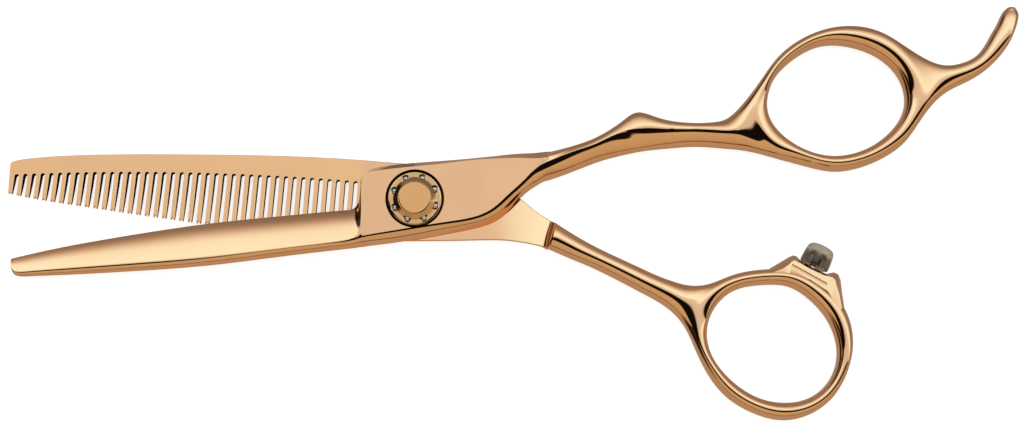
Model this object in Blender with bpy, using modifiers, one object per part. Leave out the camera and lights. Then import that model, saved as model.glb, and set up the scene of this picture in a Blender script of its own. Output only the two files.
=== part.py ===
"""Hair thinning shears, 6 inch, in their open pose: a solid blade half and a toothed blade half on a pivot.

The shears lie flat. +X runs from the pivot to the handles, +Z is up through the dial, and the origin is on
the pivot axis at the plane they rest on. Working lengths here are millimetres; MM turns them into metres.
"""

import math

import bmesh
import bpy
from mathutils import Matrix, Vector

MM = 0.001
NAME = "thinning_shears"

# Heights above the resting plane.
SPLIT = 2.8
HALF_GAP = 0.15
PLATE = 2.2
FRONT_INNER = SPLIT + HALF_GAP
FRONT_FACE = FRONT_INNER + PLATE
BACK_INNER = SPLIT - HALF_GAP
BACK_FACE = BACK_INNER - PLATE
HANDLE_DEPTH = 2.7
SHANK_DEPTH = 2.6
# Where an oval's shoulders are, as shares of its half width and of its half height. The solid blade's shank
# falls away sooner at its lower shoulder, and its first section keeps more of a ridge there.
SHOULDER = (0.75, 0.745)
LOW_SHOULDER = (0.64, 0.7)
END_SHOULDER = (0.4, 0.87)
# Clearance round a fitted part, and the reach of a cut that goes right through.
FIT = 0.1
CUT = 20.0

# The solid blade of the finger half from tip to heel: cutting edge, spine, thickness, and the width of the
# strip between the spine and the ridge.
SOLID_BLADE = [
    ((-67.1, -9.85), (-67.0, -11.5), 0.7, 0.35),
    ((-66.45, -9.65), (-66.05, -12.7), 0.9, 0.5),
    ((-63.45, -8.95), (-62.9, -12.75), 1.1, 0.6),
    ((-56.9, -7.55), (-56.5, -12.5), 1.4, 0.75),
    ((-46.0, -5.65), (-45.8, -11.9), 1.75, 0.88),
    ((-34.05, -3.9), (-34.05, -11.0), 2.0, 0.93),
    ((-22.05, -2.65), (-22.35, -9.55), 2.1, 0.9),
    ((-13.05, -1.8), (-13.55, -8.5), 2.1, 0.92),
    ((-10.5, -1.5), (-10.9, -8.2), 2.1, 1.05),
]
# The thickness and the strip where the blade meets the plate.
BLADE_FOOT = (2.1, 1.15)
# The bevel along the flat face's lower edge: how wide and how steep it is at its left and right ends.
BEVEL_WIDTH = (0.28, 0.5)
BEVEL_SLOPE = (0.17, 0.22)

# The raised plate round the pivot, from its left end to the start of the shank: the upper outline, the upper
# and the lower edge of the flat face, and the lower outline.
PLATE_FRONT = [
    ((-9.4, -0.1), (-9.4, -0.4), (-9.8, -6.95), (-9.9, -8.05)),
    ((-9.15, 3.25), (-8.95, 2.9), (-8.85, -6.6), (-8.9, -7.9)),
    ((-8.5, 4.45), (-8.4, 3.9), (-8.3, -6.5), (-8.3, -7.85)),
    ((-7.3, 5.25), (-7.25, 4.5), (-7.1, -6.25), (-7.1, -7.65)),
    ((-2.55, 6.05), (-2.45, 5.15), (-2.4, -5.5), (-2.5, -7.05)),
    ((4.1, 6.6), (4.15, 5.8), (3.9, -4.5), (4.5, -5.75)),
    ((10.45, 7.15), (10.15, 6.5), (9.5, -3.6), (10.15, -4.6)),
    ((16.15, 7.75), (15.8, 6.8), (13.15, -2.05), (13.95, -3.05)),
    ((18.8, 7.9), (18.15, 6.8), (15.65, 0.15), (16.8, -0.5)),
    ((20.8, 8.05), (20.15, 6.75), (17.8, 2.1), (18.8, 1.45)),
    ((22.3, 8.2), (21.7, 6.9), (20.1, 4.35), (20.95, 2.85)),
]

# Where the flat face ends, on the first shank section, and how much of an oval that section is already.
FLAT_END = ((22.95, 7.2), (21.8, 5.5))
END_SHARE = 0.4
# The bevel's tail on the next sections: how much of the way from the ridge to the lower shoulder it takes,
# and how many sections it crosses.
RIDGE_SHARE = 0.16
RIDGED = 3
# Upper and lower edge, and where the front is highest, as a share of the way down.
FINGER_SHANK = [
    ((23.5, 8.5), (22.5, 3.6), 0.36),
    ((26.85, 9.3), (25.65, 4.7), 0.3),
    ((30.4, 10.7), (29.5, 6.2), 0.34),
    ((34.2, 13.05), (32.85, 7.25), 0.38),
    ((37.25, 14.9), (37.6, 8.3), 0.46),
    ((41.25, 13.75), (41.9, 8.8), 0.4),
    ((46.3, 13.05), (46.65, 9.15), 0.36),
    ((50.3, 13.25), (50.95, 8.9), 0.41),
    ((53.3, 14.75), (54.65, 8.5), 0.48),
]
# The finger ring, round its hole from the top and first towards the shank: inner and outer edge.
FINGER_RING = [
    ((70.6, 26.45), (71.7, 29.55)),
    ((65.55, 25.3), (65.8, 27.9)),
    ((61.35, 22.1), (60.9, 24.4)),
    ((59.45, 19.05), (57.3, 19.5)),
    ((58.9, 15.8), (55.4, 13.95)),
    ((59.95, 12.7), (58.25, 7.85)),
    ((62.7, 9.9), (62.65, 6.5)),
    ((66.3, 8.05), (66.75, 5.45)),
    ((70.6, 7.45), (71.05, 4.95)),
    ((75.45, 8.7), (76.45, 6.35)),
    ((79.45, 11.6), (81.2, 9.2)),
    ((81.6, 14.8), (84.2, 12.95)),
    ((81.95, 17.9), (85.95, 18.8)),
    ((80.65, 21.45), (82.7, 25.7)),
    ((76.7, 24.85), (77.5, 28.85)),
]
FINGER_SHANK_JOIN = 3
TANG_JOIN = 11
# The finger rest beyond the ring: upper and lower edge, and depth.
TANG = [
    ((87.55, 23.2), (88.0, 17.55), 2.1),
    ((91.55, 23.25), (92.65, 20.2), 2.1),
    ((94.65, 24.95), (96.35, 22.65), 2.1),
    ((96.65, 28.0), (99.1, 25.65), 2.1),
    ((97.65, 29.65), (100.6, 28.3), 2.0),
    ((98.4, 31.2), (101.45, 30.9), 1.8),
    ((99.0, 32.2), (101.35, 32.1), 1.4),
    ((99.7, 32.8), (100.9, 32.8), 0.9),
]

# The toothed blade of the thumb half: spine and tooth-tip line, from tip to heel, then its pivot plate.
TOOTHED_BLADE = [
    ((-67.75, 6.35), (-68.0, 1.3)),
    ((-66.8, 6.85), (-66.6, 1.0)),
    ((-62.4, 7.4), (-62.2, 0.2)),
    ((-54.35, 7.8), (-54.15, -1.0)),
    ((-43.3, 7.9), (-43.1, -2.6)),
    ((-31.25, 7.8), (-31.05, -4.2)),
    ((-19.2, 7.5), (-19.05, -5.8)),
    ((-9.55, 6.95), (-9.65, -7.0)),
]
PLATE_BACK = [
    ((-4.75, 6.55), (-5.05, -6.9)),
    ((0.85, 6.05), (0.75, -6.8)),
    ((6.3, 4.95), (6.15, -6.75)),
    ((11.3, 3.0), (10.95, -6.65)),
    ((15.9, 1.5), (15.1, -6.7)),
    ((19.8, -1.45), (18.7, -7.2)),
    ((21.9, -2.85), (20.6, -7.6)),
]
# How far the back plate's inside falls away along its upper edge, and where that starts and is complete.
RELIEF = 0.4
RELIEF_SPAN = (10.0, 16.0)
# The fillet at the step up to the shank: its sections, and how far each has risen.
STEP = [
    ((22.75, -3.4), (21.45, -7.95), 0.12),
    ((23.35, -3.75), (22.1, -8.2), 0.5),
]
THUMB_SHANK = [
    ((23.65, -4.0), (22.4, -8.3)),
    ((27.05, -6.17), (25.55, -9.68)),
    ((31.3, -8.47), (29.65, -11.38)),
    ((36.0, -10.67), (34.05, -13.58)),
    ((40.05, -12.55), (37.95, -15.65)),
    ((43.0, -13.65), (40.95, -17.35)),
    ((45.7, -14.25), (43.45, -19.5)),
]
THUMB_RING = [
    ((58.15, -14.15), (57.7, -11.65)),
    ((53.95, -14.75), (53.0, -12.45)),
    ((50.85, -16.65), (48.9, -14.05)),
    ((48.9, -19.6), (45.95, -17.35)),
    ((48.4, -23.1), (45.45, -22.4)),
    ((49.6, -26.8), (47.5, -27.2)),
    ((52.65, -30.35), (50.9, -32.2)),
    ((56.6, -32.85), (55.75, -35.35)),
    ((60.85, -33.7), (60.8, -36.6)),
    ((65.0, -32.95), (65.85, -35.3)),
    ((68.4, -30.1), (70.05, -31.45)),
    ((69.85, -25.45), (72.45, -24.7)),
    ((68.5, -20.35), (71.2, -18.1)),
    ((65.45, -16.6), (67.3, -14.0)),
    ((62.0, -14.45), (62.85, -11.85)),
]
THUMB_SHANK_JOIN = 2

# The teeth: slots of one width and pitch, cut from the edge up to a shallow curve.
SLOTS = 40
SLOT_WIDTH = 0.73
SLOT_START = -66.58
SLOT_PITCH = 1.4517
SLOT_TOP = (4.49, 2.4, -3.59)
SLOT_LEAN = (math.radians(6.5), math.radians(4.0))
NOTCH_WIDTH = 0.5
NOTCH_DEPTH = 0.45

# The pivot, from the resting plane up.
STUD_HEAD_RADIUS = 4.0
STUD_HEAD = 0.85
NECK = 3.4
STUD_RADIUS = 1.5
STUD_TOP = 5.5
WASHER_RADIUS = 4.5
WASHER = 0.4
BORE_RADIUS = 2.3
RECESS_RADIUS = 4.8
RECESS_FLOOR = 4.0
RACE = 0.3
RACE_RADIUS = 4.5
BALLS = 8
BALL_RADIUS = 0.5
BALL_CIRCLE = 3.6
BALL_PHASE = math.radians(25.0)
POCKET_RADIUS = 0.7
DIAL_BOTTOM = 4.7
DIAL_RADIUS = 4.5
FLANGE_TOP = 5.35
HUB_RADIUS = 3.55
HUB_TOP = 6.15
DIAL_BORE = 2.45
POCKET_TOP = 5.5
CAP_RADIUS = 2.65
CAP_SEAT = 5.9
CAP_TOP = 6.25

# The lug on the thumb ring, as pairs of its outline and of its front face's outline, and the bumper in it.
LUG = [
    ((58.65, -11.6), (59.1, -12.4)),
    ((60.5, -10.5), (60.9, -11.75)),
    ((62.0, -9.6), (61.85, -11.1)),
    ((62.85, -9.2), (62.45, -10.5)),
    ((63.5, -9.4), (62.85, -10.3)),
    ((64.0, -10.0), (63.6, -10.7)),
    ((66.15, -11.2), (65.65, -11.85)),
    ((68.3, -12.35), (67.85, -12.85)),
    ((68.8, -12.2), (68.5, -12.95)),
    ((69.6, -12.05), (69.15, -13.15)),
    ((70.35, -12.4), (69.55, -13.6)),
    ((70.7, -13.35), (69.7, -14.4)),
    ((70.9, -15.35), (70.1, -15.9)),
    ((71.25, -18.0), (70.45, -18.25)),
    ((70.15, -19.0), (70.15, -19.0)),
    ((68.25, -15.5), (68.25, -15.5)),
    ((65.3, -13.5), (65.3, -13.5)),
    ((61.5, -12.5), (61.5, -12.5)),
]
# Half the lug's thickness by the ring, how much of it each millimetre outwards takes off, and its flanks'
# layers and how round they are.
LUG_DEPTH = 2.55
LUG_SLOPE = 0.25
LUG_STEPS = 4
LUG_FLANK = 1.5
GROOVE = ((62.35, -11.13), (68.1, -14.35))
GROOVE_WIDTH = 0.5
GROOVE_DEPTH = 0.5
BUMPER_FOOT = (66.2, -11.1)
BUMPER_LEAN = math.radians(26.0)
BUMPER_RADIUS = 2.5
BUMPER_HEIGHT = 3.75
STEM_RADIUS = 0.75
STEM_DEPTH = 2.0
STEM_HEAD_RADIUS = 1.3
# The stem head's pocket, measured down from the bumper's top.
STEM_HEAD = (2.2, 1.4)

ROSE_GOLD = (0.78, 0.45, 0.27)


def clear_scene():
    for obj in list(bpy.data.objects):
        bpy.data.objects.remove(obj, do_unlink=True)


def new_collection(name):
    collection = bpy.data.collections.new(name)
    bpy.context.scene.collection.children.link(collection)
    return collection


def material(name, colour, metallic, roughness):
    made = bpy.data.materials.new(name)
    made.use_nodes = True
    shader = made.node_tree.nodes["Principled BSDF"]
    shader.inputs["Base Color"].default_value = (*colour, 1.0)
    shader.inputs["Metallic"].default_value = metallic
    shader.inputs["Roughness"].default_value = roughness
    return made


def add_object(name, mesh, collection, finish=None):
    obj = bpy.data.objects.new(name, mesh)
    collection.objects.link(obj)
    if finish:
        obj.data.materials.append(finish)
    return obj


def add_cutter(name, mesh, collection):
    obj = add_object(name, mesh, collection)
    obj.hide_render = True
    obj.display_type = "WIRE"
    return obj


def mesh_of(name, bm):
    bmesh.ops.recalc_face_normals(bm, faces=bm.faces)
    mesh = bpy.data.meshes.new(name)
    bm.to_mesh(mesh)
    bm.free()
    return mesh


# --- Cages: closed rings of eight or ten points, joined into tubes and smoothed ---
# The points go from the upper edge over the front face to the lower edge, and back under it.


def at(point, height):
    return Vector((point.x, point.y, height)) * MM


def oval_section(upper, lower, depth, crest=0.5, low_shoulder=SHOULDER):
    """An upright oval, fuller than an ellipse, that meets the outline and is highest in front at crest."""
    high, low = Vector(upper), Vector(lower)
    middle, ridge = (high + low) / 2, high.lerp(low, crest)
    across, side = SHOULDER[0], depth * SHOULDER[1]
    reach, drop = low_shoulder
    return [
        at(high, SPLIT), at(ridge.lerp(high, across), SPLIT + side),
        at(ridge, SPLIT + depth), at(ridge.lerp(low, reach), SPLIT + depth * drop),
        at(low, SPLIT), at(middle.lerp(low, across), SPLIT - side),
        at(middle, SPLIT - depth), at(middle.lerp(high, across), SPLIT - side),
    ]


def inset(start, towards, distance):
    return start + (towards - start).normalized() * distance


def solid_blade_section(edge, spine, thickness, strip):
    """Ten points: a face that is steep by the cutting edge, a ridge, a strip below it and a flat inside."""
    high, low = Vector(edge), Vector(spine)
    ridge = inset(low, high, strip)
    inner = FRONT_INNER
    return [
        at(high, inner + 0.1), at(high.lerp(ridge, 0.2), inner + thickness * 0.46),
        at(high.lerp(ridge, 0.5), inner + thickness * 0.8),
        at(inset(ridge, high, strip * 0.35), inner + thickness),
        at(ridge, inner + thickness * 0.965), at(ridge.lerp(low, 0.55), inner + thickness * 0.74),
        at(low, inner + thickness * 0.25), at(inset(low, high, 0.15), inner),
        at(high.lerp(low, 0.5), inner), at(high, inner),
    ]


def front_plate_section(upper, near, far, lower, uphill):
    """Ten points: a steep upper side, a flat face, a bevel, a convex lower side and a flat inside.

    The bevel is measured square to the flat face's lower edge, along uphill.
    """
    high, low, flat, turn = Vector(upper), Vector(lower), Vector(near), Vector(far)
    inner = FRONT_INNER
    left, right = PLATE_FRONT[0][2][0], PLATE_FRONT[-1][2][0]
    share = min(1.0, (turn.x - left) / (right - left))
    width = BEVEL_WIDTH[0] + (BEVEL_WIDTH[1] - BEVEL_WIDTH[0]) * share
    drop = width * (BEVEL_SLOPE[0] + (BEVEL_SLOPE[1] - BEVEL_SLOPE[0]) * share)
    return [
        at(high, inner + 0.3), at(flat, FRONT_FACE), at(flat.lerp(turn, 0.5), FRONT_FACE),
        at(turn + uphill * width, FRONT_FACE), at(turn, FRONT_FACE - drop),
        at(turn.lerp(low, 0.55), FRONT_FACE - PLATE * 0.32), at(low, inner + 0.3),
        at(inset(low, high, 0.2), inner), at(high.lerp(low, 0.5), inner), at(inset(high, low, 0.2), inner),
    ]


def shared(ring):
    """A ring of eight named as ten, so that it joins a ring of ten."""
    return [ring[number] for number in (0, 1, 2, 2, 3, 3, 4, 5, 6, 7)]


def toothed_blade_section(spine, tips, thickness=PLATE):
    """A flat inside facing up, and under it a back that thins from a line by the spine to the tooth tips."""
    high, low = Vector(spine), Vector(tips)
    inner = BACK_INNER
    return [
        at(high, inner - 0.4), at(inset(high, low, 0.12), inner), at(high.lerp(low, 0.5), inner),
        at(inset(low, high, 0.05), inner), at(low, inner - 0.25), at(inset(low, high, 0.3), inner - 0.85),
        at(high.lerp(low, 0.55), inner - thickness * 0.84), at(inset(high, low, 1.1), inner - thickness),
    ]


def back_plate_section(upper, lower, back=BACK_FACE):
    """The face towards the other half falls away a little along its upper edge, near the shank."""
    high, low = Vector(upper), Vector(lower)
    inner = BACK_INNER
    start, full = RELIEF_SPAN
    relief = RELIEF * min(1.0, max(0.0, (high.x - start) / (full - start)))
    near, far = inset(high, low, 0.7), inset(low, high, 1.0)
    return [
        at(high, inner - 0.4 - relief), at(inset(high, low, 0.15), inner - relief),
        at(high.lerp(low, 0.5), inner - relief / 2),
        at(inset(low, high, 0.15), inner), at(low, inner - 0.4), at(far, back),
        at(near.lerp(far, 0.5), back), at(near, back),
    ]


def mixed(first, second, share):
    return [one.lerp(two, share) for one, two in zip(first, second)]


class Cage:
    """Rings of eight points, the faces between them, and how sharp the edges are."""

    def __init__(self):
        self.points = []
        self.faces = []
        self.creases = {}

    def add(self, section):
        start = len(self.points)
        self.points.extend(section)
        return list(range(start, start + len(section)))

    def bridge(self, first, second, skip=()):
        """A point that a ring names twice makes a triangle."""
        for side in range(len(first)):
            if side in skip:
                continue
            after = (side + 1) % len(first)
            corners = (first[side], second[side], second[after], first[after])
            self.faces.append(tuple(dict.fromkeys(corners)))

    def tube(self, rings):
        for first, second in zip(rings, rings[1:]):
            self.bridge(first, second)

    def flat_cap(self, ring):
        self.faces.append(tuple(ring))

    def cap(self, ring):
        self.faces.append((ring[7], ring[0], ring[1]))
        self.faces.append((ring[7], ring[1], ring[2], ring[6]))
        self.faces.append((ring[6], ring[2], ring[3], ring[5]))
        self.faces.append((ring[5], ring[3], ring[4]))

    def crease(self, first, second, amount):
        self.creases[frozenset((first, second))] = amount

    def crease_along(self, rings, sides, amounts):
        for first, second, amount in zip(rings, rings[1:], amounts):
            for side in sides:
                self.crease(first[side], second[side], amount)

    def crease_round(self, ring, sides, amount):
        for side in sides:
            self.crease(ring[side], ring[(side + 1) % len(ring)], amount)

    def loop(self, sections, depth, joins):
        """A closed ring, with an opening two segments long in its outer side at each join."""
        rings = []
        for number, (inner, outer) in enumerate(sections):
            section = oval_section(inner, outer, depth)
            if number - 1 in joins:
                section[3].z = (SPLIT + depth * 0.97) * MM
                section[5].z = (SPLIT - depth * 0.97) * MM
            rings.append(self.add(section))
        for number, ring in enumerate(rings):
            open_sides = (3, 4) if number in joins or number - 1 in joins else ()
            self.bridge(ring, rings[(number + 1) % len(rings)], open_sides)
        return rings

    def mesh(self, name):
        mesh = bpy.data.meshes.new(name)
        mesh.from_pydata([tuple(point) for point in self.points], [], self.faces)
        bm = bmesh.new()
        bm.from_mesh(mesh)
        layer = bm.edges.layers.float.new("crease_edge")
        for edge in bm.edges:
            ends = frozenset(vert.index for vert in edge.verts)
            edge[layer] = self.creases.get(ends, 0.0)
        loose = [vert for vert in bm.verts if not vert.link_faces]
        bmesh.ops.delete(bm, geom=loose, context="VERTS")
        bmesh.ops.recalc_face_normals(bm, faces=bm.faces)
        bm.to_mesh(mesh)
        bm.free()
        return mesh


def opening(first, middle, last):
    """The eight points round a join, in the order of a section that comes to it from outside."""
    return [first[4], first[3], middle[3], last[3], last[4], last[5], middle[5], first[5]]


def smooth(obj, level):
    modifier = obj.modifiers.new("smooth", "SUBSURF")
    modifier.levels = level
    modifier.render_levels = level


def pass_through(obj, rounds=5):
    """Moves the cage until the smooth surface runs through the points that the cage was given."""
    wanted = [vert.co.copy() for vert in obj.data.vertices]
    for _ in range(rounds):
        bpy.context.view_layer.update()
        shaped = obj.evaluated_get(bpy.context.evaluated_depsgraph_get()).data
        moves = [want - shaped.vertices[number].co for number, want in enumerate(wanted)]
        for vert, move in zip(obj.data.vertices, moves):
            vert.co += move


def boolean(obj, other, operation="DIFFERENCE"):
    modifier = obj.modifiers.new(other.name, "BOOLEAN")
    modifier.operation = operation
    modifier.object = other
    modifier.solver = "EXACT"


# --- Plain shapes ---


def turned_mesh(name, profile, steps=32):
    """A closed profile of (radius, height), clockwise seen with +X right, turned about Z."""
    bm = bmesh.new()
    rings = []
    for step in range(steps):
        angle = math.tau * step / steps
        ring = [bm.verts.new(Vector((r * math.cos(angle), r * math.sin(angle), z)) * MM) for r, z in profile]
        rings.append(ring)
    count = len(profile)
    for number, ring in enumerate(rings):
        following = rings[(number + 1) % steps]
        for side in range(count):
            after = (side + 1) % count
            bm.faces.new((ring[side], following[side], following[after], ring[after]))
    bmesh.ops.remove_doubles(bm, verts=bm.verts, dist=1e-7)
    return mesh_of(name, bm)


def prism_mesh(name, outlines, low, high):
    """One upright prism for each flat outline."""
    bm = bmesh.new()
    for outline in outlines:
        verts = [bm.verts.new(Vector((x, y, low)) * MM) for x, y in outline]
        face = bm.faces.new(verts)
        grown = bmesh.ops.extrude_face_region(bm, geom=[face])
        top = [item for item in grown["geom"] if isinstance(item, bmesh.types.BMVert)]
        bmesh.ops.translate(bm, verts=top, vec=Vector((0, 0, high - low)) * MM)
    return mesh_of(name, bm)


def cylinder_mesh(name, radius, low, high, steps=32):
    return turned_mesh(name, [(0, low), (0, high), (radius, high), (radius, low)], steps)


def box_mesh(name, size_x, size_y, low, high):
    half_x, half_y = size_x / 2, size_y / 2
    outline = [(-half_x, -half_y), (half_x, -half_y), (half_x, half_y), (-half_x, half_y)]
    return prism_mesh(name, [outline], low, high)


# --- The two halves ---


def finger_cage():
    cage = Cage()
    blade = [cage.add(solid_blade_section(*station)) for station in SOLID_BLADE]
    plate = [cage.add(section) for section in plate_sections()]
    shank = []
    for upper, lower, crest in FINGER_SHANK[1 + RIDGED:]:
        shank.append(cage.add(oval_section(upper, lower, SHANK_DEPTH, crest, LOW_SHOULDER)))
    ring = cage.loop(FINGER_RING, HANDLE_DEPTH, (FINGER_SHANK_JOIN, TANG_JOIN))
    tang = [cage.add(oval_section(*station)) for station in TANG]
    crease_finger_half(cage, blade, plate, shank)
    cage.flat_cap(blade[0])
    cage.tube(blade + plate + [shared(shank[0])])
    cage.tube(shank + [opening(*ring[FINGER_SHANK_JOIN:FINGER_SHANK_JOIN + 3])])
    cage.tube([opening(*ring[TANG_JOIN:TANG_JOIN + 3][::-1])] + tang)
    cage.cap(tang[-1])
    return cage


def plate_sections():
    """From the solid blade's foot to the first sections of the shank, whose back is already full."""
    edge = [Vector(far) for _, _, far, _ in PLATE_FRONT] + [Vector(FLAT_END[1])]
    ends = zip(edge[:1] + edge, edge[1:] + edge[-1:])
    uphill = [(after - before).normalized().orthogonal() for before, after in ends]
    sections = [front_plate_section(*station, up) for station, up in zip(PLATE_FRONT, uphill)]
    foot = solid_blade_section(PLATE_FRONT[0][0], PLATE_FRONT[0][3], *BLADE_FOOT)
    sections[0][1:6] = foot[1:6]
    upper, lower, crest = FINGER_SHANK[0]
    flat = front_plate_section(upper, *FLAT_END, lower, uphill[-1])
    oval = oval_section(upper, lower, SHANK_DEPTH, crest, END_SHOULDER)
    face = [oval[number] for number in (1, 2, 2, 3, 3)]
    sections.append([oval[0], *mixed(flat[1:6], face, END_SHARE), *oval[4:8]])
    sections += [ridged_section(*station) for station in FINGER_SHANK[1:1 + RIDGED]]
    return sections


def ridged_section(upper, lower, crest):
    """Ten points: an oval with the tail of the bevel below its ridge."""
    oval = oval_section(upper, lower, SHANK_DEPTH, crest, LOW_SHOULDER)
    ridge, shoulder = oval[2], oval[3]
    section = shared(oval)
    section[2] = ridge.lerp(oval[1], RIDGE_SHARE)
    section[2].z = ridge.z
    section[4] = ridge.lerp(shoulder, RIDGE_SHARE)
    section[4].z = ridge.lerp(shoulder, RIDGE_SHARE / 2).z
    return section


def crease_finger_half(cage, blade, plate, shank):
    whole = blade + plate + [shared(shank[0])]
    start, flat = len(blade), len(PLATE_FRONT) - 1
    fade = [0.45, 0.3, 0.15, 0.1, 0.05]
    cage.crease_along(whole, (1,), [0.0] * start + [1.0] * flat + fade)
    cage.crease_along(whole, (3,), [0.6] * start + [1.0] * flat + fade)
    cage.crease_along(whole, (4,), [0.6] * start + [0.8] * flat + fade)
    cage.crease_along(whole, (0, 6, 7, 9), [1.0] * (start + flat))
    cage.crease_round(blade[0], range(10), 1.0)
    cage.crease_round(plate[1], (1, 2), 0.5)
    cage.crease_round(plate[flat], (6, 7, 8, 9), 0.9)
    cage.crease_round(plate[flat + 1], (6, 7, 8, 9), 0.6)


def thumb_cage():
    cage = Cage()
    blade = [cage.add(toothed_blade_section(*TOOTHED_BLADE[0], PLATE * 0.6))]
    blade += [cage.add(toothed_blade_section(*station)) for station in TOOTHED_BLADE[1:]]
    plate = [cage.add(back_plate_section(*station)) for station in PLATE_BACK]
    plate += [cage.add(step_section(*station)) for station in STEP]
    shank = [cage.add(section) for section in thumb_shank_sections()]
    ring = cage.loop(THUMB_RING, HANDLE_DEPTH, (THUMB_SHANK_JOIN,))
    whole = blade + plate
    sharp = [1.0] * (len(whole) - 1)
    cage.crease_along(whole, (0, 1, 3, 4, 7), sharp)
    cage.crease_along(whole, (5,), [0.0] * (len(blade) - 1) + [1.0] * len(plate))
    cage.crease_round(blade[0], range(8), 1.0)
    cage.cap(blade[0])
    cage.tube(whole + shank + [opening(*ring[THUMB_SHANK_JOIN:THUMB_SHANK_JOIN + 3])])
    return cage


def step_section(upper, lower, share):
    """The front rises from the plate's level to the shank's; the back stays flat."""
    flat = back_plate_section(upper, lower)
    return mixed(flat[:5], oval_section(upper, lower, SHANK_DEPTH)[:5], share) + flat[5:]


def thumb_shank_sections():
    """The front steps up from the plate to a full oval, and the back leaves its flat gradually."""
    sections = [oval_section(*station, SHANK_DEPTH) for station in THUMB_SHANK]
    for number, share in ((0, 0.2), (1, 0.6)):
        flat = back_plate_section(*THUMB_SHANK[number])
        sections[number][5:8] = mixed(flat[5:8], sections[number][5:8], share)
    return sections


def tip_line(x):
    """The height of the tooth tips at x, along the toothed blade."""
    for (_, left), (_, right) in zip(TOOTHED_BLADE, TOOTHED_BLADE[1:]):
        if x <= right[0]:
            break
    return left[1] + (right[1] - left[1]) * (x - left[0]) / (right[0] - left[0])


def slot_frame(number):
    """The top centre of a slot and the direction down along it."""
    share = number / (SLOTS - 1)
    base, slope, bend = SLOT_TOP
    top = Vector((SLOT_START + SLOT_PITCH * number, base + slope * share + bend * share * share))
    lean = SLOT_LEAN[0] + (SLOT_LEAN[1] - SLOT_LEAN[0]) * share
    return top, Vector((-math.sin(lean), -math.cos(lean)))


def slot_outline(number, arc_steps=6):
    top, down = slot_frame(number)
    across = Vector((-down.y, down.x)) * (SLOT_WIDTH / 2)
    reach = top.y - tip_line(top.x) + 1.0
    outline = [top + down * reach + across, top + down * reach - across]
    centre = top + down * (SLOT_WIDTH / 2)
    for step in range(arc_steps + 1):
        turn = math.pi * (1 - step / arc_steps)
        outline.append(centre + across * math.cos(turn) - down * (math.sin(turn) * SLOT_WIDTH / 2))
    return outline


def notch_outline(number):
    """A V in the tip of the tooth on the left of a slot."""
    top, down = slot_frame(number)
    start = top - Vector((SLOT_PITCH / 2, 0))
    tip = start + down * ((start.y - tip_line(start.x)) / -down.y)
    across = Vector((-down.y, down.x)) * (NOTCH_WIDTH / 2)
    return [tip - down * NOTCH_DEPTH, tip + down * 0.4 + across, tip + down * 0.4 - across]


def tooth_cutters():
    outlines = [slot_outline(number) for number in range(SLOTS)]
    outlines += [notch_outline(number) for number in range(SLOTS)]
    return prism_mesh("tooth_cutters", outlines, -1.0, SPLIT + 1.0)


def lug_frame():
    """At the foot of the bumper, with +Z along its axis."""
    place = Vector((*BUMPER_FOOT, SPLIT)) * MM
    aim = Matrix.Rotation(-BUMPER_LEAN, 4, "Z") @ Matrix.Rotation(math.radians(-90), 4, "X")
    return Matrix.Translation(place) @ aim


def lug_height(point):
    """Of the lug's front face over the middle of its thickness: it slopes down away from the ring."""
    start, end = (Vector(place) for place in GROOVE)
    outward = (end - start).normalized().orthogonal()
    return LUG_DEPTH - LUG_SLOPE * max(0.0, 1.0 + (point - start).dot(outward))


def lug_mesh():
    """Layers of outlines, from the widest in the middle over curved flanks to the two faces."""
    bm = bmesh.new()
    layers = []
    for step in range(-LUG_STEPS, LUG_STEPS + 1):
        rise = step / LUG_STEPS
        outline = [Vector(outer).lerp(Vector(front), abs(rise) ** LUG_FLANK) for outer, front in LUG]
        layers.append([bm.verts.new(at(point, SPLIT + lug_height(point) * rise)) for point in outline])
    for lower, upper in zip(layers, layers[1:]):
        for side in range(len(LUG)):
            after = (side + 1) % len(LUG)
            bm.faces.new((lower[side], lower[after], upper[after], upper[side]))
    bm.faces.new(layers[0])
    bm.faces.new(layers[-1])
    return mesh_of("lug", bm)


def groove_cutter(cutters, name, low, high):
    start, end = (Vector(point) for point in GROOVE)
    across = (end - start).normalized().orthogonal() * (GROOVE_WIDTH / 2)
    outline = [start - across, end - across, end + across, start + across]
    return add_cutter(name, prism_mesh(name, [outline], low, high), cutters)


def make_finger_half(parts, cutters, finish):
    half = add_object("finger_half", finger_cage().mesh("finger_half"), parts, finish)
    smooth(half, 1)
    pass_through(half)
    recess = cylinder_mesh("dial_recess", RECESS_RADIUS, RECESS_FLOOR, CUT, 48)
    boolean(half, add_cutter("dial_recess", recess, cutters))
    bore = cylinder_mesh("front_bore", BORE_RADIUS, 0.0, CUT)
    boolean(half, add_cutter("front_bore", bore, cutters))
    return half


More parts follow.
